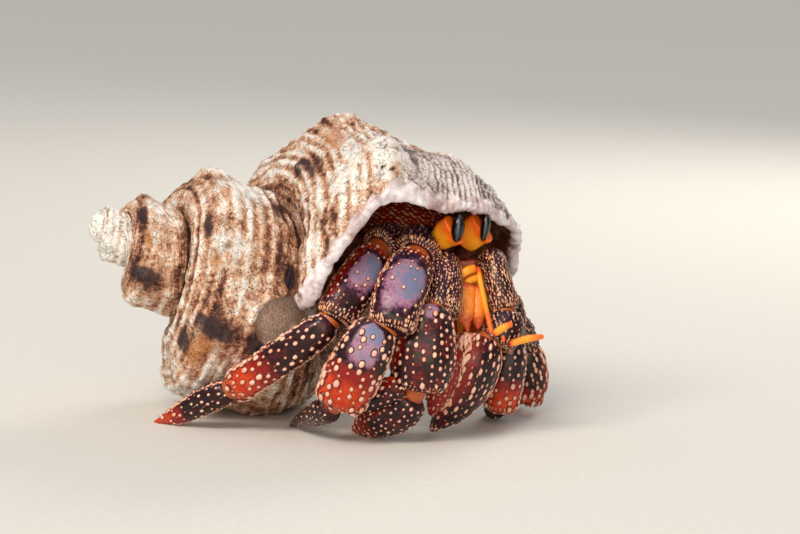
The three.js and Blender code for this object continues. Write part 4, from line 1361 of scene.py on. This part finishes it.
RIGHT_SECOND_LEG = Limb("leg2_right", (
    Segment("leg2_right_dactylus", (4.0, 3.6, 2.4, 0.9), (3.4, 3.0, 2.0, 0.8),
            ((-8.8, -26.6, 5.3), (-10.8, -23.6, 3.9), (-13.1, -19.2, 2.1), (-15.3, -14.2, 0.1)),
            Form.FINGER, Dress(70, (0.14, 0.22), 90, (0.09, 0.15), bristles=24, warm=0.12)),
    Segment("leg2_right_propodus", (5.4, 7.2, 7.6, 6.2), (4.4, 5.4, 5.4, 4.4),
            ((-2.8, -28.2, 17.4), (-4.5, -28.8, 14.0), (-6.4, -28.4, 10.0), (-7.9, -27.2, 6.0)),
            Form.PLATE, Dress(170, (0.20, 0.46), 160, (0.10, 0.18), bald=(0.26, 0.27, 0.27), red_tip=0.50,
                              margins=(0.03, 0.47), bristles=14)),
    Segment("leg2_right_carpus", (5.6, 6.9, 7.0, 5.8), (4.8, 5.8, 5.8, 4.8),
            ((2.1, -18.0, 25.5), (0.9, -22.2, 23.3), (-0.2, -25.6, 20.6), (-0.9, -28.0, 17.0)),
            Form.PLATE, Dress(170, (0.16, 0.32), 460, (0.10, 0.21), bald=(0.56, 0.27, 0.37), red_base=0.13,
                              red_edge=(0.49, 0.05), margins=(0.0, 0.06, 0.44, 0.49))),
    Segment("leg2_right_merus", (5.0, 6.6, 6.6), (4.8, 5.6, 5.4),
            ((3.6, -9.4, 24.0), (2.8, -13.4, 26.9), (2.3, -17.0, 26.1)),
            Form.PLATE, Dress(0, scales=460, scale_size=(0.09, 0.18))),
))

RIGHT_CLAW = Limb("cheliped_right", (
    Segment("cheliped_right_dactyl", (3.4, 3.8, 3.0, 1.2), (3.4, 3.4, 2.6, 1.2),
            ((1.0, -26.0, 9.0), (-0.9, -25.6, 7.8), (-2.9, -24.2, 5.9), (-4.7, -22.0, 3.8)),
            Form.FINGER, Dress(90, (0.14, 0.26), 90, red_edge=(0.45, 0.12), warm=0.25)),
    Segment("cheliped_right_palm", (4.6, 6.0, 5.4, 3.6, 1.2), (4.4, 5.2, 4.8, 3.4, 1.2),
            ((2.8, -24.4, 7.1), (0.8, -23.6, 4.9), (-1.7, -21.8, 3.1), (-4.1, -19.4, 1.7),
             (-6.1, -16.6, 0.2)),
            Form.FINGER, Dress(210, (0.17, 0.30), 160, red_tip=0.42, red_edge=(0.5, 0.16), warm=0.1)),
    Segment("cheliped_right_carpus", (5.0, 7.4, 9.0, 6.4), (4.6, 5.6, 5.8, 4.6),
            ((4.8, -22.6, 19.3), (4.3, -24.2, 16.0), (3.7, -25.2, 12.2), (3.2, -25.0, 8.4)),
            Form.PLATE, Dress(190, (0.18, 0.38), 240, (0.10, 0.19), bald=(0.10, 0.27, 0.16),
                              red_edge=(0.47, 0.09), margins=(0.0, 0.49), warm=0.28)),
    Segment("cheliped_right_merus", (4.4, 5.2, 5.4, 5.2), (4.4, 5.2, 5.2, 4.8),
            ((6.4, -9.8, 22.8), (6.2, -14.6, 23.9), (6.4, -18.5, 21.7), (6.1, -21.4, 18.5)),
            Form.PLATE, Dress(40, (0.14, 0.22), 700, (0.10, 0.19), margins=(0.0, 0.22), warm=0.12)),
))

LEFT_CLAW = Limb("cheliped_left", (
    Segment("cheliped_left_dactyl", (3.4, 4.2, 3.8, 1.6), (3.4, 3.8, 3.2, 1.6),
            ((8.0, -20.6, 13.8), (7.1, -21.2, 10.5), (6.1, -20.8, 7.0), (5.1, -19.8, 3.4)),
            Form.FINGER, Dress(60, (0.14, 0.24), 160, red_edge=(0.4, 0.3), warm=0.75)),
    Segment("cheliped_left_palm", (5.8, 8.2, 8.2, 5.4, 1.8), (5.2, 6.8, 6.4, 4.6, 1.8),
            ((11.7, -17.0, 14.7), (11.0, -18.2, 11.8), (9.7, -18.0, 8.1), (7.7, -17.2, 3.8),
             (5.3, -16.0, 0.3)),
            Form.FINGER, Dress(170, (0.20, 0.34), 330, (0.10, 0.18), red_edge=(0.42, 0.18),
                               margins=(0.29, 0.32, 0.35, 0.02), long=0.8)),
    Segment("cheliped_left_carpus", (4.8, 5.6, 5.2), (4.8, 5.4, 4.8),
            ((15.4, -15.4, 17.4), (15.3, -16.4, 15.6), (14.3, -17.0, 14.1)),
            Form.PLATE, Dress(40, (0.16, 0.26), 200, (0.10, 0.19))),
    Segment("cheliped_left_merus", (3.8, 3.6, 4.0, 4.6), (4.2, 4.4, 4.4, 4.4),
            ((12.2, -8.8, 23.0), (13.5, -11.8, 24.9), (14.2, -13.8, 22.5), (15.3, -15.0, 18.5)),
            Form.PLATE, Dress(30, (0.14, 0.22), 620, (0.10, 0.19), red_base=0.12, margins=(0.26,))),
))

LEFT_SECOND_LEG = Limb("leg2_left", (
    Segment("leg2_left_dactylus", (3.4, 3.0, 2.2, 0.9), (3.0, 2.6, 1.8, 0.8),
            ((14.8, -7.0, 2.2), (15.0, -4.8, 1.8), (14.7, -2.6, 1.0), (14.0, -0.4, 0.05)),
            Form.FINGER, Dress(60, (0.14, 0.22), 60, bristles=20, warm=0.1), (1.0, 0.0, 0.0)),
    Segment("leg2_left_propodus", (4.6, 5.2, 5.4, 4.6), (4.4, 5.0, 4.8, 4.0),
            ((16.2, -9.4, 13.2), (16.4, -9.8, 10.1), (15.9, -9.9, 6.5), (15.4, -9.2, 2.8)),
            Form.PLATE, Dress(130, (0.20, 0.36), 110, red_tip=0.42, margins=(0.05,), bristles=12,
                              warm=0.15)),
    Segment("leg2_left_carpus", (4.4, 5.0, 4.6), (4.6, 5.0, 4.6),
            ((15.6, -8.8, 19.0), (16.2, -8.8, 16.4), (16.3, -9.2, 13.8)),
            Form.PLATE, Dress(40, (0.16, 0.26), 220)),
    Segment("leg2_left_merus", (4.0, 4.4, 4.4), (4.0, 4.4, 4.4),
            ((11.4, -5.8, 21.0), (13.8, -6.6, 20.4), (15.4, -7.8, 18.4)),
            Form.PLATE, Dress(0, scales=260, scale_size=(0.09, 0.17))),
))

LEFT_THIRD_LEG = Limb("leg3_left", (
    Segment("leg3_left_dactylus", (3.4, 3.0, 2.2, 0.9), (3.0, 2.6, 1.8, 0.8),
            ((19.0, 3.6, 2.9), (18.6, 5.8, 2.1), (17.8, 8.0, 1.0), (16.6, 10.0, 0.05)),
            Form.FINGER, Dress(60, (0.14, 0.22), 60, bristles=20, warm=0.1), (1.0, 0.0, 0.0)),
    Segment("leg3_left_propodus", (4.4, 5.2, 5.2, 4.4), (4.4, 5.0, 5.0, 4.0),
            ((19.0, 0.9, 10.2), (19.9, 1.2, 7.6), (20.2, 1.8, 4.7), (19.6, 2.4, 2.2)),
            Form.PLATE, Dress(150, (0.20, 0.36), 110, red_tip=0.36, red_edge=(0.0, 0.10), bristles=12,
                              warm=0.15, long=0.5)),
    Segment("leg3_left_carpus", (4.2, 4.8, 4.4), (4.4, 4.8, 4.4),
            ((17.1, -2.6, 14.5), (18.2, -1.2, 12.8), (18.9, 0.4, 10.9)),
            Form.PLATE, Dress(60, (0.16, 0.26), 200, warm=0.1)),
    Segment("leg3_left_merus", (4.0, 4.4, 4.4), (4.0, 4.4, 4.4),
            ((9.0, -4.2, 19.4), (13.2, -3.6, 16.8), (16.2, -3.0, 14.2)),
            Form.PLATE, Dress(0, scales=260, scale_size=(0.09, 0.17))),
))

WALKING_LIMBS = (RIGHT_THIRD_LEG, RIGHT_SECOND_LEG, RIGHT_CLAW, LEFT_CLAW, LEFT_SECOND_LEG, LEFT_THIRD_LEG)

EYES = (
    Segment("eye_right", (1.5, 1.95, 1.5), (2.0, 2.3, 2.0),
            ((7.9, -17.6, 28.4), (8.1, -18.0, 30.5), (8.3, -17.6, 32.4)), Form.EYE),
    Segment("eye_left", (1.1, 1.5, 1.1), (2.0, 2.3, 2.0),
            ((11.8, -14.6, 28.3), (12.1, -15.0, 30.4), (12.2, -14.6, 32.4)), Form.EYE),
)

EYESTALKS = (
    Segment("eyestalk_right", (2.2, 3.3, 4.2, 4.6), (2.2, 2.2, 2.2, 2.0),
            ((4.8, -13.6, 28.3), (5.8, -14.9, 28.5), (6.7, -16.0, 29.4), (7.8, -17.2, 30.2)), Form.STALK),
    Segment("eyestalk_left", (2.6, 3.6, 4.6, 4.9), (2.2, 2.2, 2.1, 1.9),
            ((9.5, -11.8, 27.4), (10.0, -12.6, 28.2), (10.8, -13.5, 29.5), (11.8, -14.3, 30.3)), Form.STALK),
)

FEELERS = (
    Segment("antennule_right", (0.9, 0.75, 0.7), (0.9, 0.75, 0.7),
            ((11.2, -14.0, 24.4), (12.2, -17.6, 20.3), (13.4, -21.4, 15.9)), Form.ROD),
    Segment("antennule_left", (0.9, 0.75, 0.7), (0.9, 0.75, 0.7),
            ((12.2, -12.2, 23.4), (13.8, -15.8, 19.2), (15.3, -19.6, 14.4)), Form.ROD),
    Segment("antennule_whip_right", (0.9, 1.1, 0.7), (0.9, 1.0, 0.7),
            ((13.6, -21.9, 15.8), (15.0, -21.7, 16.8), (16.3, -21.4, 17.5)), Form.ROD),
    Segment("antennule_whip_left", (0.9, 1.1, 0.7), (0.9, 1.0, 0.7),
            ((15.9, -20.0, 14.2), (18.4, -19.4, 14.9), (21.0, -18.6, 15.3)), Form.ROD),
    Segment("antenna_base_right", (1.2, 1.2, 0.9), (1.2, 1.2, 0.9),
            ((10.8, -14.9, 24.3), (9.5, -15.9, 23.9), (8.4, -15.7, 22.6)), Form.STALK),
    Segment("antenna_base_left", (1.2, 1.2, 0.9), (1.2, 1.2, 0.9),
            ((11.3, -14.6, 22.9), (10.0, -15.4, 22.5), (8.9, -15.3, 21.2)), Form.STALK),
    Segment("antenna_whip_right", (0.9, 0.85, 0.7, 0.6), (0.8, 0.75, 0.7, 0.6),
            ((8.0, -15.4, 22.0), (6.9, -14.2, 19.0), (5.3, -13.8, 14.4), (2.8, -15.0, 10.9)), Form.ROD),
    Segment("antenna_whip_left", (0.9, 0.85, 0.7, 0.6), (0.8, 0.75, 0.7, 0.6),
            ((8.7, -15.0, 20.7), (8.9, -14.2, 16.8), (9.3, -13.9, 12.5), (8.8, -12.4, 8.2)), Form.ROD),
)

MOUTHPARTS = (
    Segment("maxilliped_right", (2.9, 3.0, 2.5, 0.9), (1.8, 1.8, 1.6, 0.8),
            ((9.4, -16.4, 22.3), (9.4, -17.4, 20.1), (9.6, -18.4, 18.0), (10.1, -19.0, 15.7)), Form.FINGER),
    Segment("maxilliped_left", (2.6, 2.8, 2.4, 0.9), (1.8, 1.8, 1.6, 0.8),
            ((11.2, -15.6, 21.8), (11.3, -16.6, 19.8), (11.5, -17.6, 17.9), (11.5, -18.4, 16.0)),
            Form.FINGER),
    Segment("mouth_field", (3.8, 5.4, 5.4, 4.2), (2.4, 2.8, 2.8, 2.2),
            ((9.9, -9.6, 25.0), (10.2, -10.4, 21.6), (10.2, -11.4, 17.4), (10.0, -11.6, 13.6)), Form.STALK),
)

CARAPACE = Segment("carapace", (4.6, 9.0, 11.0, 11.6, 9.0), (3.0, 5.8, 8.0, 8.8, 7.4),
                   ((8.0, -8.8, 27.6), (5.2, -6.8, 28.6), (2.0, -4.6, 29.4), (-1.6, -2.2, 29.4),
                    (-4.8, 0.0, 28.6)),
                   Form.SOFT, Dress(scales=900, scale_size=(0.12, 0.22), warm=0.45), (0.57, 0.82, 0.0))

INNER_LEGS = (
    Segment("leg4_right", (2.4, 2.2, 2.2, 1.2), (2.2, 2.0, 1.6, 1.0),
            ((-1.0, -6.0, 21.6), (-4.4, -9.0, 23.4), (-7.0, -12.4, 22.6), (-8.0, -15.4, 20.6)), Form.SOFT),
    Segment("leg4_left", (2.4, 2.2, 2.2, 1.2), (2.2, 2.0, 1.6, 1.0),
            ((5.6, -2.2, 21.4), (8.6, -1.4, 23.8), (10.6, -3.6, 26.4), (11.4, -6.4, 28.6)), Form.SOFT),
    Segment("leg5_right", (1.8, 1.6, 1.6, 0.9), (1.6, 1.4, 1.2, 0.8),
            ((-4.4, -3.0, 25.0), (-7.6, -5.4, 27.4), (-8.6, -9.0, 29.4), (-8.0, -12.4, 30.4)), Form.SOFT),
    Segment("leg5_left", (1.8, 1.6, 1.6, 0.9), (1.6, 1.4, 1.2, 0.8),
            ((-0.6, 3.0, 25.6), (0.6, 4.6, 28.6), (0.2, 4.4, 31.8), (-1.4, 2.6, 34.4)), Form.SOFT),
)

THORAX = Segment("thorax_underside", (3.4, 6.4, 7.2, 6.8), (2.8, 4.0, 4.4, 4.2),
                 ((7.4, -7.6, 22.4), (4.4, -5.6, 22.0), (1.0, -3.4, 22.0), (-3.0, -0.8, 22.6)),
                 Form.SOFT, Dress(), (0.57, 0.82, 0.0))


@dataclass
class SoftBody:
    """Underside, belly and inner legs in one skin, which fills the chamber of the shell."""

    shell: TurbanShell
    start: float = -4.0
    end: float = -268.0
    room: tuple[float, ...] = (3.0, 3.0, 3.0, 3.1, 3.6)

    def belly(self) -> Shape:
        """Follows the chamber inwards, with a wrinkle every few degrees."""
        rows, columns = 90, 72
        share = np.linspace(0.0, 1.0, rows)[:, None]
        turn = np.broadcast_to(self.start + (self.end - self.start) * share, (rows, columns))
        line = np.broadcast_to(np.arange(columns) / columns, (rows, columns))
        dome = 2.0 * (1 - np.minimum(1, np.minimum(share, 1 - share) / 0.03)) ** 2
        room = smooth_station(self.room, share) + dome + 0.12 * np.sin(TAU * share * 24)
        return closed_grid(self.shell.chamber_ring(turn, line, np.broadcast_to(room, turn.shape)))

    def build(self, bench: Bench) -> None:
        """Joins the parts of the skin and makes one piece of them."""
        parts = [self.belly(), THORAX.skin(40, 48, WHOLE)]
        parts += [leg.skin(40, 24, WHOLE) for leg in INNER_LEGS]
        names = ("abdomen_front", "abdomen_rear", "thorax_underside", *(leg.name for leg in INNER_LEGS))
        bench.piece("soft_body_skin", joined(parts), SoftSkin().make(), "soft", names, merge=0.35)


@dataclass
class Head:
    """Eyes, eyestalks, feelers, mouthparts and the carapace behind them."""

    def build(self, bench: Bench, coat: Coat) -> None:
        """Makes each part as its own piece: rows and columns of its skin, and its lumps in mm."""
        orange = OrangeCuticle().make()
        folds = OrangeCuticle("folded_cuticle", "#f08a1e", "#cd4a0a", "#7c1c05", 0.7).make()
        eye = FacetedEye().make()
        groups = ((EYES, "globe", 48, 48, 0.0, eye, "eye"),
                  (EYESTALKS, "skin", 60, 56, 0.05, orange, "orange"),
                  (MOUTHPARTS, "skin", 90, 72, 0.30, folds, "orange"),
                  (FEELERS, "skin", 150, 20, 0.02, orange, "orange"))
        for parts, ending, rows, columns, rough, finish, slot in groups:
            for part in parts:
                skin = part.skin(rows, columns, WHOLE, rough)
                bench.piece(f"{part.name}_{ending}", skin, finish, slot, (part.name,))
        # The carapace's painted sky sheen is tinted red.
        carapace = CrabPlate("red_carapace", ((0.2, "#3c0505"), (0.5, "#7a1109"), (0.8, "#a82c1a")),
                             painted_sheen="#8a2a1c").make()
        skin = CARAPACE.skin(90, 90, WHOLE, 0.15)
        bench.piece("carapace_skin", skin, carapace, "plate", (CARAPACE.name,))
        grains = CARAPACE.beads(Bead.SCALE, CARAPACE.dress.scales, WHOLE, 3)
        bench.piece("carapace_grains", grains, coat.scale, "plate")


# ---------------------------------------------------------------- studio


@dataclass
class Studio:
    """Floor, soft lights, plain world and the camera, which looks level along +Y from low down."""

    target: Triple = (0.0, 0.0, 22.0)
    distance: float = 420.0
    elevation: float = 8.0
    roll: float = 2.0
    lens: float = 126.0
    sun_strength: float = 1.35
    sky_strength: float = 0.38

    def view_axes(self) -> tuple[Array, Array, Array]:
        """Right, up and forward directions of the camera."""
        tilt, roll = math.radians(self.elevation), math.radians(self.roll)
        forward = np.array([0.0, math.cos(tilt), -math.sin(tilt)])
        level = np.array([1.0, 0.0, 0.0])
        raised = np.cross(level, forward)
        right = math.cos(roll) * level + math.sin(roll) * raised
        return right, -math.sin(roll) * level + math.cos(roll) * raised, forward

    def camera(self, shift: Array) -> None:
        """Places the camera on the line through the target."""
        data = bpy.data.cameras.new("camera")
        data.lens, data.sensor_width = self.lens, 36.0
        data.clip_start, data.clip_end = 0.01, 20.0
        camera = bpy.data.objects.new("camera", data)
        right, up, forward = self.view_axes()
        place = (np.array(self.target) + shift - self.distance * forward) * MM
        frame = np.eye(4)
        frame[:3, 0], frame[:3, 1], frame[:3, 2], frame[:3, 3] = right, up, -forward, place
        camera.matrix_world = Matrix(frame.tolist())
        bpy.context.scene.collection.objects.link(camera)
        bpy.context.scene.camera = camera

    def light(self, name: str, place: Triple, aim: Triple, size: float, power: float, colour: str) -> None:
        """Adds a square soft light, with place and aim in metres."""
        data = bpy.data.lights.new(name, "AREA")
        data.shape, data.size, data.energy, data.color = "SQUARE", size, power, srgb(colour)[:3]
        lamp = bpy.data.objects.new(name, data)
        back = unit(np.array(place) - np.array(aim))
        side = unit(np.cross([0.0, 0.0, 1.0], back) + np.array([1e-6, 0, 0]))
        frame = np.eye(4)
        frame[:3, 0], frame[:3, 1], frame[:3, 2], frame[:3, 3] = side, np.cross(back, side), back, place
        lamp.matrix_world = Matrix(frame.tolist())
        bpy.context.scene.collection.objects.link(lamp)

    def floor(self) -> None:
        """Lays a wide pale floor at z = 0."""
        mesh = bpy.data.meshes.new("floor")
        half = 3.0
        mesh.from_pydata([(-half, -half, 0), (half, -half, 0), (half, half, 0), (-half, half, 0)],
                         [], [(0, 1, 2, 3)])
        mesh.materials.append(StudioFloor().make())
        floor = bpy.data.objects.new("floor", mesh)
        bpy.context.scene.collection.objects.link(floor)

    def sun(self) -> None:
        """Adds the even light of a big far window, up on the viewer's left."""
        data = bpy.data.lights.new("sun", "SUN")
        data.energy, data.angle, data.color = self.sun_strength, math.radians(22.0), srgb("#fff3e2")[:3]
        lamp = bpy.data.objects.new("sun", data)
        lamp.rotation_euler = (math.radians(38.0), math.radians(-24.0), 0.0)
        bpy.context.scene.collection.objects.link(lamp)

    def world(self) -> None:
        """Plain sky: at the horizon as bright as the far floor, and brighter overhead."""
        world = bpy.data.worlds.new("studio")
        world.use_nodes = True
        tree = world.node_tree
        tree.nodes.clear()
        ray = add_node(tree, "ShaderNodeTexCoord").outputs["Generated"]
        height = add_node(tree, "ShaderNodeSeparateXYZ", {0: ray}).outputs[2]
        rise = add_node(tree, "ShaderNodeMapRange", {0: height, 1: 0.0, 2: 0.7},
                        interpolation_type="SMOOTHSTEP").outputs[0]
        colour = add_node(tree, "ShaderNodeMix", {0: rise, 6: srgb("#d9d7d2"), 7: srgb("#eef3fb")},
                          data_type="RGBA").outputs[2]
        sky = add_node(tree, "ShaderNodeBackground", {0: colour, 1: self.sky_strength})
        add_node(tree, "ShaderNodeOutputWorld", {0: sky.outputs[0]})
        bpy.context.scene.world = world

    def build(self, shift: Array) -> None:
        """Sets the whole studio, with colours shown as they are."""
        self.camera(shift)
        self.floor()
        self.sun()
        middle = (0.0, 0.0, 0.02)
        self.light("sky", (-0.10, -0.25, 0.90), middle, 0.90, 0.8, "#f2f6ff")
        self.light("key", (-0.30, -0.34, 0.34), middle, 0.12, 0.9, "#fff4e6")
        self.light("fill", (0.04, -0.50, 0.16), middle, 0.34, 0.9, "#fff1de")
        self.light("rim", (0.22, 0.34, 0.26), middle, 0.18, 0.8, "#fff8ec")
        self.world()
        bpy.context.scene.view_settings.view_transform = "Standard"


def design_shift() -> Array:
    """Way from the design frame to the shared one, in mm.

    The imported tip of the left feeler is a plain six-sided rod that nothing cuts, so the same rod
    in the design frame tells how far it was moved.

    Returns:
        (3,) shift in X and Y; the floor is at the same height in both.
    """
    rod = next(part for part in FEELERS if part.name == "antennule_whip_left")
    sides, dome = 6, np.array([0.62, 1.0, 1.0, 1.0, 1.0, 0.62])
    places = np.array([0.0, *(0.07 + 0.86 * k / 3 for k in range(4)), 1.0])
    middle, along, side, depth = rod.skeleton(places)
    widths = np.interp(places, (0, 0.5, 1), rod.widths) / 2 * dome
    depths = np.interp(places, (0, 0.5, 1), rod.depths) / 2 * dome
    turn = TAU * (np.arange(sides)[:, None] + 0.5) / sides
    rings = (middle + (widths * np.cos(turn))[..., None] * side
             + (depths * np.sin(turn))[..., None] * depth)
    reach = 0.12 * rod.depths[0]
    ends = middle[[0, -1]] + reach * along[[0, -1]] * np.array([[-1.0], [1.0]])
    every = np.concatenate([rings.reshape(-1, 3), ends])
    low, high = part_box(rod.name)
    packed = (np.array(low) + np.array(high)) / 2 / MM
    design = (every.min(0) + every.max(0)) / 2
    return np.array([packed[0] - design[0], packed[1] - design[1], 0.0])


def main() -> None:
    """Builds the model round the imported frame, piece by piece."""
    logging.basicConfig(level=logging.INFO, format="%(name)s: %(message)s")
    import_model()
    shift = design_shift()
    LOG.info("design frame is moved by %.3f, %.3f mm", shift[0], shift[1])
    Studio().build(shift)
    bench = Bench(shift)
    shell = TurbanShell()
    shell.build(bench)
    coat = Coat(CrabPlate().make(), PearlStud().make(),
                PearlStud("tan_scale", tan="#a8744e", pearl="#dcae86", pink="#b98478").make(),
                Bristle().make(), OrangeCuticle("joint_membrane", "#b8561c", "#80270c", "#2c0a08").make())
    for limb in WALKING_LIMBS:
        limb.build(bench, coat)
    Head().build(bench, coat)
    SoftBody(shell).build(bench)
    LOG.info("all pieces: %d triangles", bench.faces)


if __name__ == "__main__":
    main()
